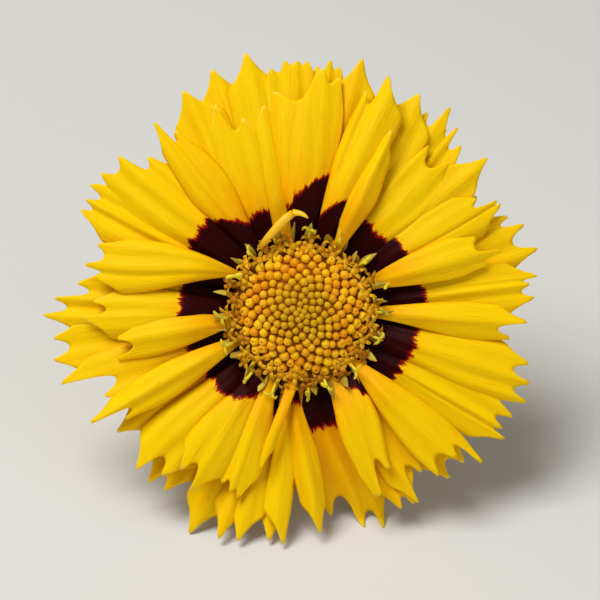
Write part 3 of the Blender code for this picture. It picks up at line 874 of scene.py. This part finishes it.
def stand(tree, points, group, pick, heading, spin, size):
    """One of the group's patterns on each point, leaning to its heading and spun about its own axis."""
    lean = tree.add("FunctionNodeAlignRotationToVector", {"Vector": heading}, axis="Z")
    spin = tree.join(0.0, 0.0, spin)
    spun = tree.add("FunctionNodeRotateRotation", {0: lean, 1: spin}, rotation_space="LOCAL")
    shapes = tree.add("GeometryNodeCollectionInfo", {"Collection": group, "Separate Children": True})
    sockets = {"Points": points, "Instance": shapes, "Pick Instance": True, "Instance Index": pick}
    return tree.add("GeometryNodeInstanceOnPoints", sockets | {"Rotation": spun, "Scale": size})


def mark(tree, geometry, label, value):
    """Writes a value on each instance for its finish to read."""
    sockets = {"Geometry": geometry, "Name": label, "Value": value}
    return tree.add("GeometryNodeStoreNamedAttribute", sockets, domain="INSTANCE")


def grow(name, tree, values, matrix=HEAD):
    """Runs a tree on an empty object with the given inputs."""
    thing = object_of(name, bmesh.new())
    modifier = thing.modifiers.new("grow", "NODES")
    modifier.node_group = tree.nodes
    for item in tree.nodes.interface.items_tree:
        if item.in_out == "INPUT" and item.name in values:
            modifier[item.identifier] = values[item.name]
    return plain_mesh(thing, matrix)


def disc_tree(material):
    kinds = {"Buds": "Collection", "Count": "Int", "Radius": "Float", "Rim": "Float", "Rise": "Float"}
    tree, given = new_tree("disc_of_buds", kinds | {"Seed": "Int"})
    seed = given["Seed"]
    number = tree.add("GeometryNodeInputIndex")
    share = ((number + 0.5) / given["Count"]) ** BUD_CROWDING + tree.draw(-BUD_STRAY, BUD_STRAY, seed + 3)
    turn = number * GOLDEN_TURN + tree.draw(-BUD_SWING, BUD_SWING, seed + 4) / (number + 2.0).math("SQRT")
    across = turn.math("COSINE") * share
    up = turn.math("SINE") * share
    height = given["Rim"] + given["Rise"] * (1 - share * share)
    place = tree.join(across * given["Radius"], up * given["Radius"], height)
    points = tree.add("GeometryNodePoints", {"Count": given["Count"], "Position": place})
    slope = given["Rise"] * 2 / given["Radius"]
    heading = tree.join(across * slope, up * slope, 1.0)
    size = tree.draw(*BUD_SIZES, seed + 1) * (MIDDLE_SIZE + share * RIM_GAIN)
    opened = (share + tree.draw(-OPEN_STRAY, OPEN_STRAY, seed + 5)).math("GREATER_THAN", OPEN_FROM)
    pick = tree.draw(0.0, BUD_KINDS / 2 - 0.01, seed + 6).math("FLOOR") + opened * (BUD_KINDS / 2)
    buds = stand(tree, points, given["Buds"], pick, heading, tree.draw(0.0, BUD_SPIN, seed), size)
    buds = mark(tree, buds, "tone", tree.draw(0.0, 1.0, seed + 2))
    return close_tree(tree, mark(tree, buds, "share", share), material)


# %% [markdown]
# The bud's finish
#
# Towards the rim the buds are a warm orange-yellow, and in the middle, where they are youngest, they are
# smaller and olive. Lower down each bud turns red-brown, which is painted shade for the creases between
# its lobes and the gaps between buds. The height over the bud's foot isn't known to the shader, so the bud
# mesh carries it as an attribute of its own.

# %% The bud's finish
BUD_ORANGE = colour(230, 152, 8)
BUD_YELLOW = colour(246, 192, 22)
BUD_OLIVE = colour(206, 158, 14)
BUD_GAP_SHADE = colour(140, 60, 2)


def bud_look(tree):
    tip = tree.attribute("tip")
    tone = tree.attribute("tone")
    share = tree.attribute("share")
    speckle = tree.noise(tree.place(), 4000.0, 2.0)
    warm = tree.mix(BUD_ORANGE, BUD_YELLOW, (tone * 0.8 + speckle * 0.4).between(0.2, 1.0))
    young = tree.mix(BUD_OLIVE, warm, share.between(0.25, 0.7))
    return {
        # painted shade: each bud turns red-brown towards its foot, in the creases and in the gaps between
        # buds
        "Base Color": tree.mix(BUD_GAP_SHADE, young, tip.between(0.0, 0.4)),
        "Roughness": 0.5 + speckle * 0.2,
        "Normal": tree.bump(speckle, 0.00004, 0.4),
    }


BUD_GLOW = {"Subsurface_Weight": 0.15, "Subsurface_Radius": (1.0, 0.6, 0.1), "Subsurface_Scale": 0.0003}
BUD_SINK = 0.25  # how far the rim's buds are sunk in the dome, mm
BUD_LIFT = 0.2  # how much more the buds rise to the middle than the dome, mm
bud_finish = finish("disc_buds", bud_look, Specular_IOR_Level=0.2, **BUD_GLOW)
DISC_INPUTS = {"Buds": bud_patterns, "Count": BUD_COUNT, "Radius": BUD_SPREAD, "Seed": 3}
DISC_INPUTS |= {"Rim": DISC_RIM - BUD_SINK, "Rise": DISC_RISE + BUD_LIFT}
disc_buds = grow("disc_buds", disc_tree(bud_finish), DISC_INPUTS)
place_piece(disc_buds, bud_finish, "disc_florets")

# %% [markdown]
# Turned forms
#
# The dome under the buds, the receptacle and the rings that the rays and bracts grow from are all round
# about the flower's axis. Each is a short profile that is spun once round and closed on itself.

# %% Turned forms
TURN_STEPS = 64
DISC_FLOOR = -3.0  # height of the dome's underside, mm
DISC_FOOT = 6.6  # how far out it reaches, mm
OPEN_FLOOR = 0.9  # height at which the dome widens over the fringe, mm
DOME_SHARES = (1, 0.85, 0.7, 0.5, 0.3, 0.15, 0)
CORE_SHADE = colour(150, 92, 8)
MATT = {"Specular_IOR_Level": 0.08}


def turned(name, profile):
    """A closed round body from (distance out, height) points in mm, already at the flower's place."""
    form = bmesh.new()
    rim = [form.verts.new((out, 0, height)) for out, height in profile]
    edges = [form.edges.new(pair) for pair in zip(rim, rim[1:] + rim[:1])]
    whole = {"cent": (0, 0, 0), "axis": (0, 0, 1), "angle": 2 * math.pi, "steps": TURN_STEPS}
    bmesh.ops.spin(form, geom=rim + edges, use_merge=True, **whole)
    bmesh.ops.remove_doubles(form, verts=form.verts[:], dist=0.001)
    bmesh.ops.recalc_face_normals(form, faces=form.faces[:])
    return plain_mesh(object_of(name, form))


dome = [(DISC_RADIUS * share, DISC_RIM + DISC_RISE * (1 - share**2)) for share in DOME_SHARES]
disc_core = turned("disc_core", [(0, DISC_FLOOR), (DISC_FOOT, DISC_FLOOR), (DISC_FOOT, OPEN_FLOOR)] + dome)
# painted shade: the dome shows only through the gaps between the buds, so it is mottled in their red-brown
# shade
core_finish = finish("disc_core", mottled(BUD_GAP_SHADE, CORE_SHADE, 1500.0, 2.0, 0.6, 0.1), **MATT)
place_piece(disc_core, core_finish, "disc_florets")

# %% [markdown]
# Rings that close the middle
#
# The crowded bases of the rays leave small gaps, and so do the florets of the fringe. A ring behind each
# closes them. The one behind the rays is maroon above, like their bases, and greenish yellow below, like
# their undersides.

# %% Rings that close the middle
CLAW_RING = [(7.0, -3.0), (7.0, -2.4), (9.4, -2.5), (12.4, -2.8), (13.2, -3.3), (9.0, -3.4)]
FRINGE_RING = [(6.7, 0.2), (6.7, 1.1), (7.9, 0.8), (8.6, 0.2), (8.7, -0.5), (8.0, -0.6)]
UNDER_OLIVE = colour(150, 142, 44)
FRINGE_BROWN = colour(110, 62, 8)
FRINGE_OCHRE = colour(196, 132, 22)

claw_ring = turned("claw_ring", CLAW_RING)
claw_finish = finish("claw_ring", mottled(DARK_MAROON, MAROON, 900.0, 2.0, 0.5, 0.1), **MATT)
claw_under = finish("claw_ring_underside", mottled(UNDER_BASE, UNDER_OLIVE, 900.0, 2.0, 0.5, 0.1), **MATT)
claw_ring.data.materials.append(claw_finish)
claw_ring.data.materials.append(claw_under)
facing = HEAD.to_3x3() @ Vector((0, 0, 1))
for face in claw_ring.data.polygons:
    face.material_index = 0 if face.normal.dot(facing) > 0 else 1
place_piece(claw_ring, claw_finish, "ray_florets")

fringe_ring = turned("fringe_ring", FRINGE_RING)
fringe_look = mottled(FRINGE_BROWN, FRINGE_OCHRE, 1100.0, 3.0, 0.5, 0.2, (0.35, 0.65))
place_piece(fringe_ring, finish("fringe_ring", fringe_look, **MATT), "open_florets")

# %% [markdown]
# Swept strips
#
# Tubes, styles, scales and the one rolled floret are all long thin things on a line. One helper sweeps an
# oval ring along points: at each it works out the direction, lays a ring across it and joins that to the
# ring before.

# %% Swept strips
SWEEP_UP = Vector((0.13, 0.21, 1.0)).normalized()  # leans a little, so no strip runs along it


def sweep(form, points, sizes, sides=6, flat=1.0):
    """A closed strip along points; sizes are half its width at each, flat its thickness by its width."""
    rings = []
    for number, point in enumerate(points):
        ahead = points[min(number + 1, len(points) - 1)] - points[max(number - 1, 0)]
        side = ahead.cross(SWEEP_UP).normalized()
        lift = side.cross(ahead).normalized()
        ring = []
        for step in range(sides):
            turn = 2 * math.pi * step / sides
            offset = side * math.cos(turn) + lift * (math.sin(turn) * flat)
            ring.append(form.verts.new(point + offset * sizes[number]))
        rings.append(ring)
    faces = [form.faces.new(rings[0]), form.faces.new(list(reversed(rings[-1])))]
    for here, after in zip(rings, rings[1:]):
        for step in range(sides):
            following = (step + 1) % sides
            faces.append(form.faces.new((here[step], here[following], after[following], after[step])))
    bmesh.ops.recalc_face_normals(form, faces=faces)


def arc_points(start, heading, bend_axis, bend, length, steps):
    """Points of a line that leaves start in a heading and turns about an axis, bend degrees in all."""
    points = [start.copy()]
    ahead = heading.normalized()
    turn = Matrix.Rotation(math.radians(bend / steps), 3, bend_axis)
    for _ in range(steps):
        points.append(points[-1] + ahead * (length / steps))
        ahead = turn @ ahead
    return points


# %% [markdown]
# The open florets
#
# Round the dome stand the florets that have already opened. Each is a small tube whose rim spreads in five
# pointed lobes, and out of it reach two style arms that curl apart. Between the florets stand dry pointed
# scales. A few patterns of each are made with different curls, and a Geometry Nodes tree stands them round
# the disc, each leaning out by its own amount.

# %% Patterns of open florets
FRINGE_KINDS = 5  # patterns of each
TUBE_HEIGHT = 1.3
TUBE_RADIUS = 0.42
TUBE_LEVELS = (0.0, 0.5, 0.9, TUBE_HEIGHT)
TUBE_SIZES = (0.3, 0.32, 0.38, TUBE_RADIUS)
LOBE_ROWS = 5
LOBE_WALL = 0.06
LOBE_SWELL = 0.22  # how far a lobe rises before it droops, mm
LOBE_KEEL = 0.09  # how deep its middle is folded at its base, mm
STYLE_FOOT = Vector((0, 0, 0.8))
STYLE_SIZES = (0.14, 0.14, 0.16)
ARM_SIZES = (0.15, 0.16, 0.17, 0.18, 0.19, 0.19, 0.18, 0.15, 0.06)
SCALE_FOOT = Vector((0, 0, 0.4))
SCALE_LENGTH = 2.4
SCALE_SIZES = (0.22, 0.34, 0.42, 0.42, 0.34, 0.2, 0.04)
FRINGE_SEED = 8


def lobe(form, turn, length, half, droop):
    """One pointed lobe at the rim of a tube, as a thin body."""
    edges = []
    for row in range(LOBE_ROWS + 1):
        share = row / LOBE_ROWS
        width = half * (1 - share**1.8) * (0.8 + 0.7 * share)
        out = TUBE_RADIUS * 0.9 + length * share
        height = TUBE_HEIGHT + LOBE_SWELL * math.sin(share * math.pi) - droop * share**2
        line = []
        for across, drop in ((-width, 0.0), (0.0, -LOBE_KEEL * (1 - share)), (width, 0.0)):
            x = out * math.cos(turn) - across * math.sin(turn)
            y = out * math.sin(turn) + across * math.cos(turn)
            line.append((x, y, height + drop))
        edges.append(line)
    upper = [[form.verts.new(point) for point in line] for line in edges]
    lower = [[form.verts.new((x, y, z - LOBE_WALL)) for x, y, z in line] for line in edges]
    faces = []
    for row in range(LOBE_ROWS):
        for side in range(2):
            a, b = upper[row][side], upper[row][side + 1]
            c, d = upper[row + 1][side + 1], upper[row + 1][side]
            faces.append(form.faces.new((a, d, c, b)))
            e, f = lower[row][side], lower[row][side + 1]
            g, h = lower[row + 1][side + 1], lower[row + 1][side]
            faces.append(form.faces.new((e, f, g, h)))
        for side in (0, 2):
            quad = (upper[row][side], upper[row + 1][side], lower[row + 1][side], lower[row][side])
            faces.append(form.faces.new(quad))
    for row in (0, LOBE_ROWS):
        for side in range(2):
            quad = (upper[row][side], upper[row][side + 1], lower[row][side + 1], lower[row][side])
            faces.append(form.faces.new(quad))
    bmesh.ops.recalc_face_normals(form, faces=faces)


def floret_form(chance):
    """A tube with five pointed lobes at its rim."""
    form = bmesh.new()
    sweep(form, [Vector((0, 0, height)) for height in TUBE_LEVELS], TUBE_SIZES, sides=10)
    for step in range(LOBES):
        turn = 2 * math.pi * (step + chance.uniform(-0.12, 0.12)) / LOBES
        lobe(form, turn, chance.uniform(0.55, 0.95), chance.uniform(0.2, 0.27), chance.uniform(-0.2, 0.35))
    return form


def style_form(chance):
    """A style that splits in two arms which curl apart."""
    form = bmesh.new()
    fork = Vector((0, 0, TUBE_HEIGHT + chance.uniform(0.5, 1.1)))
    sweep(form, [STYLE_FOOT, (fork + STYLE_FOOT) / 2, fork], STYLE_SIZES)
    for side in (-1, 1):
        heading = Vector((side * 0.5, chance.uniform(-0.3, 0.3), 1.0))
        curl = side * chance.uniform(60, 200)
        length = chance.uniform(0.8, 1.3)
        points = arc_points(fork, heading, Vector((0, 1, 0)), curl, length, len(ARM_SIZES) - 1)
        sweep(form, points, ARM_SIZES, flat=0.6)
    return form


def scale_form(chance):
    """A dry pointed scale of the kind that stands between two florets."""
    form = bmesh.new()
    axis = Vector((chance.uniform(-1, 1), chance.uniform(-1, 1), 0)).normalized()
    curl = chance.uniform(-50, 50)
    points = arc_points(SCALE_FOOT, Vector((0, 0, 1)), axis, curl, SCALE_LENGTH, len(SCALE_SIZES) - 1)
    sweep(form, points, SCALE_SIZES, sides=8, flat=0.22)
    return form


FRINGE_FORMS = {"floret": floret_form, "style": style_form, "scale": scale_form}
chance = random.Random(FRINGE_SEED)
fringe_patterns = {label: bpy.data.collections.new(label + "_patterns") for label in FRINGE_FORMS}
for number in range(FRINGE_KINDS):
    for label, make_form in FRINGE_FORMS.items():
        pattern_object(f"{label}_pattern_{number}", make_form(chance), fringe_patterns[label])
print(FRINGE_KINDS, "patterns each of", ", ".join(fringe_patterns))

# %% The tree that stands them round the disc
RING_INPUTS = {"Patterns": "Collection", "Count": "Int"}
RING_INPUTS |= dict.fromkeys(("Radius", "Spread", "Height", "Least Lean", "Most Lean", "Size"), "Float")
RING_INPUTS["Seed"] = "Int"
RING_STRAY = 0.3  # how far a floret strays from its turn, as a share of the way to the next
ANY_SPIN = 6.3  # about a full turn, radians
ANY_PICK = 40  # many times round the patterns


def ring_tree(name, material):
    tree, given = new_tree(name, RING_INPUTS)
    seed = given["Seed"]
    number = tree.add("GeometryNodeInputIndex") + tree.draw(-RING_STRAY, RING_STRAY, seed)
    turn = number * (2 * math.pi) / given["Count"]
    across = turn.math("COSINE")
    up = turn.math("SINE")
    out = given["Radius"] + given["Spread"] * tree.draw(-1.0, 1.0, seed + 1)
    lean = tree.draw(given["Least Lean"], given["Most Lean"], seed + 2)
    place = tree.join(across * out, up * out, given["Height"])
    points = tree.add("GeometryNodePoints", {"Count": given["Count"], "Position": place})
    heading = tree.join(across * lean, up * lean, 1.0)
    spin = tree.draw(0.0, ANY_SPIN, seed + 3)
    pick = tree.add("FunctionNodeRandomValue", {4: 0, 5: ANY_PICK, "Seed": seed + 4}, out=2, data_type="INT")
    stood = stand(tree, points, given["Patterns"], pick, heading, spin, given["Size"])
    return close_tree(tree, mark(tree, stood, "tone", tree.draw(0.0, 1.0, seed + 5)), material)


# %% [markdown]
# The finish of the open florets
#
# The lobes are olive to straw yellow and thin enough for light to come through, with red-brown patches. The
# styles are a clear pale lemon, and the scales a dry olive.

# %% Growing the open florets
LOBE_STRAW = colour(230, 170, 22)
LOBE_OLIVE = colour(182, 118, 14)
LOBE_RUST = colour(178, 78, 14)
STYLE_LEMON = colour(238, 214, 50)
STYLE_LIME = colour(206, 180, 36)
SCALE_OLIVE = colour(150, 118, 28)
SCALE_PALE = colour(214, 190, 70)


def lobe_look(tree):
    tone = tree.attribute("tone")
    mottle = tree.noise(tree.place(), 900.0, 3.0)
    shade = tree.mix(LOBE_OLIVE, LOBE_STRAW, (tone + (mottle - 0.5) * 0.8).between(0.0, 0.7))
    return {
        "Base Color": tree.mix(shade, LOBE_RUST, mottle.between(0.55, 0.75) * 0.6),
        "Roughness": 0.45 + mottle * 0.2,
        "Normal": tree.bump(mottle, 0.00005, 0.4),
    }


def style_look(tree):
    mottle = tree.noise(tree.place(), 1200.0, 2.0)
    shade = (tree.attribute("tone") + (mottle - 0.5) * 0.6).between(0.0, 1.0)
    return {
        "Base Color": tree.mix(STYLE_LIME, STYLE_LEMON, shade),
        "Roughness": 0.4 + mottle * 0.2,
        "Normal": tree.bump(mottle, 0.00003, 0.3),
    }


def scale_look(tree):
    mottle = tree.noise(tree.place(), 1500.0, 3.0)
    shade = (tree.attribute("tone") * 0.7 + (mottle - 0.3) * 0.8).between(0.0, 1.0)
    return {"Base Color": tree.mix(SCALE_OLIVE, SCALE_PALE, shade), "Roughness": 0.45 + mottle * 0.2}


THIN = {"Subsurface_Weight": 0.2, "Subsurface_Radius": (1.0, 0.8, 0.2), "Subsurface_Scale": 0.0003}
THIN["Specular_IOR_Level"] = 0.2
LOOKS = {"floret": ("lobes", lobe_look), "style": ("styles", style_look), "scale": ("scales", scale_look)}
FRINGE = {  # the kind of pattern, then the rest of RING_INPUTS: count, distances in mm, leans, size and seed
    "fringe_inner": ("floret", 30, 7.7, 0.25, 0.5, 0.1, 0.6, 1.1, 5),
    "fringe_outer": ("floret", 18, 8.1, 0.2, 0.3, 0.7, 1.6, 1.2, 14),
    "fringe_styles": ("style", 16, 8.1, 0.3, 0.5, 0.4, 1.8, 1.25, 31),
    "fringe_scales": ("scale", 30, 8.2, 0.3, 0.2, 0.8, 2.4, 1.2, 52),
}
finishes = {label: finish("open_floret_" + part, look, **THIN) for label, (part, look) in LOOKS.items()}
rings = {label: ring_tree(f"ring_of_{label}s", material) for label, material in finishes.items()}
for name, (label, *values) in FRINGE.items():
    piece = grow(name, rings[label], dict(zip(RING_INPUTS, (fringe_patterns[label], *values))))
    place_piece(piece, finishes[label], "open_florets")

# %% The one rolled strap floret
STRAP_LINE = [(-5.2, 7.8, 2.4), (-4.2, 9.0, 3.0), (-3.1, 10.2, 3.5), (-2.0, 11.3, 3.7), (-1.1, 12.0, 3.6)]
STRAP_SIZES = (0.3, 0.42, 0.52, 0.54, 0.46)
CURL_HEADING = Vector((1.0, 0.1, 0.3))
CURL_BEND = -60  # degrees
CURL_LENGTH = 2.1
CURL_SIZES = (0.5, 0.42, 0.36, 0.32, 0.28, 0.2, 0.06)

strap = [Vector(point) for point in STRAP_LINE]
strap_form = bmesh.new()
sweep(strap_form, strap, STRAP_SIZES, sides=14, flat=0.7)
curl = arc_points(strap[-1], CURL_HEADING, Vector((0, 0, 1)), CURL_BEND, CURL_LENGTH, len(CURL_SIZES) - 1)
sweep(strap_form, curl, CURL_SIZES, sides=8, flat=0.5)
strap_floret = plain_mesh(object_of("strap_floret", strap_form))
strap_finish = finish("strap_floret", mottled(WARM_YELLOW, BRIGHT_YELLOW, 500.0, 3.0, 0.4, 0.2), **RAY_GLOW)
place_piece(strap_floret, strap_finish, "open_florets")

# %% [markdown]
# The bracts
#
# Behind the rays two whorls of bracts hold the head. The inner eight are broad, yellow-green and stand
# close under the rays like a cup. The outer eight are narrow and green, and spread. A bract is a sheet
# along a curved line in the plane through the axis, widest low down and drawn out to a point, with a keel
# along its middle.

# %% The bracts
BRACT_COUNT = 8
BRACT_ROWS = 18
BRACT_COLUMNS = 8
BRACT_WALL = 0.4  # thickness of a bract, mm
BRACT_TIP = 0.2  # width of its point, mm
BRACT_FOLD = 0.25  # depth of its fold, as a share of half its width


def bract_whorl(name, ring, path, width, offset):
    """Eight bracts along a path of (distance out, height) points, with the ring that they grow from."""
    form = bmesh.new()
    layers = {label: form.verts.layers.float.new(label) for label in ("across", "along")}
    for number in range(BRACT_COUNT):
        turn = offset + 360 * number / BRACT_COUNT
        made = bmesh.ops.create_grid(form, x_segments=BRACT_COLUMNS, y_segments=BRACT_ROWS, size=1.0)
        for index, vert in enumerate(made["verts"]):
            row, column = divmod(index, BRACT_COLUMNS + 1)
            share = row / BRACT_ROWS
            across = 2 * column / BRACT_COLUMNS - 1
            spot = share * (len(path) - 1)
            low = min(int(spot), len(path) - 2)
            out, height = Vector(path[low]).lerp(Vector(path[low + 1]), spot - low)
            half = 0.5 * (width * math.sin(math.pi * (0.3 + 0.55 * share)) * (1 - share) + BRACT_TIP * share)
            flat = polar(turn, out) + polar(turn + 90, across * half)
            vert.co = (flat.x, flat.y, height - BRACT_FOLD * half * (1 - across**2))
            vert[layers["across"]] = across
            vert[layers["along"]] = share
    thing = object_of(name, form)
    thicken(thing, BRACT_WALL)
    plain_mesh(thing)
    return join_meshes(thing, turned(name + "_ring", ring))


def join_meshes(thing, other):
    """Adds the other object's mesh to the first, and removes the other."""
    form = bmesh.new()
    form.from_mesh(thing.data)
    form.from_mesh(other.data)
    form.to_mesh(thing.data)
    form.free()
    bpy.data.objects.remove(other, do_unlink=True)
    return thing


INNER_RING = [(5.4, -7.9), (7.2, -4.4), (8.0, -4.4), (6.4, -7.9)]
INNER_PATH = [(6.6, -5.6), (8.0, -5.0), (9.6, -4.2), (11.2, -3.6), (12.6, -3.4)]
OUTER_RING = [(4.0, -9.4), (4.9, -8.4), (6.0, -8.4), (5.2, -9.6)]
OUTER_PATH = [(5.2, -8.6), (7.6, -8.4), (10.0, -8.4), (12.2, -8.9), (13.6, -9.6)]
inner_bracts = bract_whorl("inner_bract_cup", INNER_RING, INNER_PATH, 6.4, 22.5)
outer_bracts = bract_whorl("outer_bract_whorl", OUTER_RING, OUTER_PATH, 3.6, 0.0)

# %% The bracts' finish
INNER_GREEN = colour(150, 158, 60)
INNER_PALE = colour(206, 196, 110)
LEAF_GREEN = colour(86, 128, 44)
DEEP_GREEN = colour(52, 92, 34)


def bract_look(middle, edge):
    """A look with streaks along the bract and another colour at its edges."""

    def look(tree):
        across = tree.attribute("across")
        streaks = tree.noise(tree.join(across * 9.0, tree.attribute("along") * 2.0, 0.0), 1.0, 2.0)
        rim = (across * across + (streaks - 0.5) * 0.3).between(0.55, 1.0)
        streaked = tree.mix(middle, DEEP_GREEN, streaks.between(0.45, 0.8) * 0.5)
        return {
            "Base Color": tree.mix(streaked, edge, rim),
            "Roughness": 0.45 + streaks * 0.2,
            "Normal": tree.bump(streaks, 0.00015, 0.5),
        }

    return look


inner_finish = finish("inner_bracts", bract_look(INNER_GREEN, INNER_PALE))
outer_finish = finish("outer_bracts", bract_look(LEAF_GREEN, LEAF_GREEN))
place_piece(inner_bracts, inner_finish, "inner_bracts")
place_piece(outer_bracts, outer_finish, "outer_bracts")

# %% [markdown]
# The stalk
#
# The stalk leaves the swollen receptacle along the axis and bends down until it lies on the surface. Its
# line repeats the solid's: straight, then one wide bend, then flat. Fine ribs run its whole length, so
# Geometry Nodes sweep a ribbed circle along the line.

# %% The stalk's line
STEM_RADIUS = 1.25
STEM_SOCKET = -11.5  # how far along the axis the stalk's line starts, mm
STEM_BEND = 62.0  # radius of its bend, mm
STEM_LYING = 16.0  # length that lies on the surface, mm
STEM_STEPS = 24


def stem_line():
    """Points of the stalk's middle, in mm over the surface."""
    back = Vector((0, math.cos(TILT), -math.sin(TILT)))
    start = Vector((*HEAD_PLACE, HEAD_HEIGHT)) - back * STEM_SOCKET
    straight = (start.z - STEM_RADIUS - STEM_BEND * (1 - math.cos(TILT))) / math.sin(TILT)
    knee = start + back * straight
    points = [start, start + back * straight * 0.5]
    for step in range(STEM_STEPS + 1):
        left = TILT * (1 - step / STEM_STEPS)
        run = STEM_BEND * (math.sin(TILT) - math.sin(left))
        points.append(knee + Vector((0, run, STEM_RADIUS - knee.z + STEM_BEND * (1 - math.cos(left)))))
    return points + [points[-1] + Vector((0, STEM_LYING * share, 0)) for share in (0.25, 0.5, 0.75, 1.0)]


def line_object(name, points):
    """An object that holds a line through the points."""
    curve = bpy.data.curves.new(name, "CURVE")
    curve.dimensions = "3D"
    line = curve.splines.new("POLY")
    line.points.add(len(points) - 1)
    for spot, point in zip(line.points, points):
        spot.co = (*point, 1.0)
    return new_object(name, curve)


# %% Growing the stalk
RIB_COUNT = 9
RIB_DEPTH = 0.04
RIB_STEPS = 6  # points round the stalk for each rib
STALK_PALE = colour(120, 150, 66)
STREAK_STRETCH = (1, 0.08, 1)
RECEPTACLE = [(0, -13.0), (1.2, -13.0), (2.0, -10.8), (3.6, -9.2), (5.0, -8.0), (6.2, -6.0), (6.8, -4.3)]
RECEPTACLE += [(6.8, -3.3), (0, -3.3)]


def stalk_tree(material):
    kinds = {"Line": "Object", "Radius": "Float", "Ribs": "Int", "Rib Depth": "Float"}
    tree, given = new_tree("ribbed_stalk", kinds)
    line = tree.add("GeometryNodeObjectInfo", {"Object": given["Line"]}, out="Geometry")
    sockets = {"Resolution": given["Ribs"] * RIB_STEPS, "Radius": 1.0}
    ring = tree.add("GeometryNodeCurvePrimitiveCircle", sockets, out="Curve", mode="RADIUS")
    turn = tree.add("GeometryNodeInputIndex") * (2 * math.pi / RIB_STEPS)
    rib = given["Radius"] - given["Rib Depth"] * (1 - turn.math("COSINE"))
    here = tree.add("GeometryNodeInputPosition")
    grown = tree.add("ShaderNodeVectorMath", {0: here, "Scale": rib}, operation="SCALE")
    ring = tree.add("GeometryNodeSetPosition", {"Geometry": ring, "Position": grown})
    tube = tree.add("GeometryNodeCurveToMesh", {"Curve": line, "Profile Curve": ring, "Fill Caps": True})
    return close_tree(tree, tube, material)


def stalk_look(tree):
    stretched = tree.add("ShaderNodeMapping", {"Vector": tree.place(), "Scale": STREAK_STRETCH})
    streaks = tree.noise(stretched, 1400.0, 2.0)
    return {
        "Base Color": tree.mix(LEAF_GREEN, STALK_PALE, streaks),
        "Roughness": 0.4 + streaks * 0.2,
        "Normal": tree.bump(streaks, 0.0001, 0.4),
    }


stalk_finish = finish("stalk_green", stalk_look)
stem_curve = line_object("stem_line", stem_line())
STALK_INPUTS = {"Line": stem_curve, "Radius": STEM_RADIUS, "Ribs": RIB_COUNT, "Rib Depth": RIB_DEPTH}
stalk = grow("stalk", stalk_tree(stalk_finish), STALK_INPUTS, Matrix.Scale(MM, 4))
join_meshes(stalk, turned("receptacle", RECEPTACLE))
place_piece(stalk, stalk_finish, "stem")

# %% Clear away the patterns
helpers = [stem_curve, *bud_patterns.objects]
for group in fringe_patterns.values():
    helpers += group.objects
for helper in helpers:
    bpy.data.objects.remove(helper, do_unlink=True)
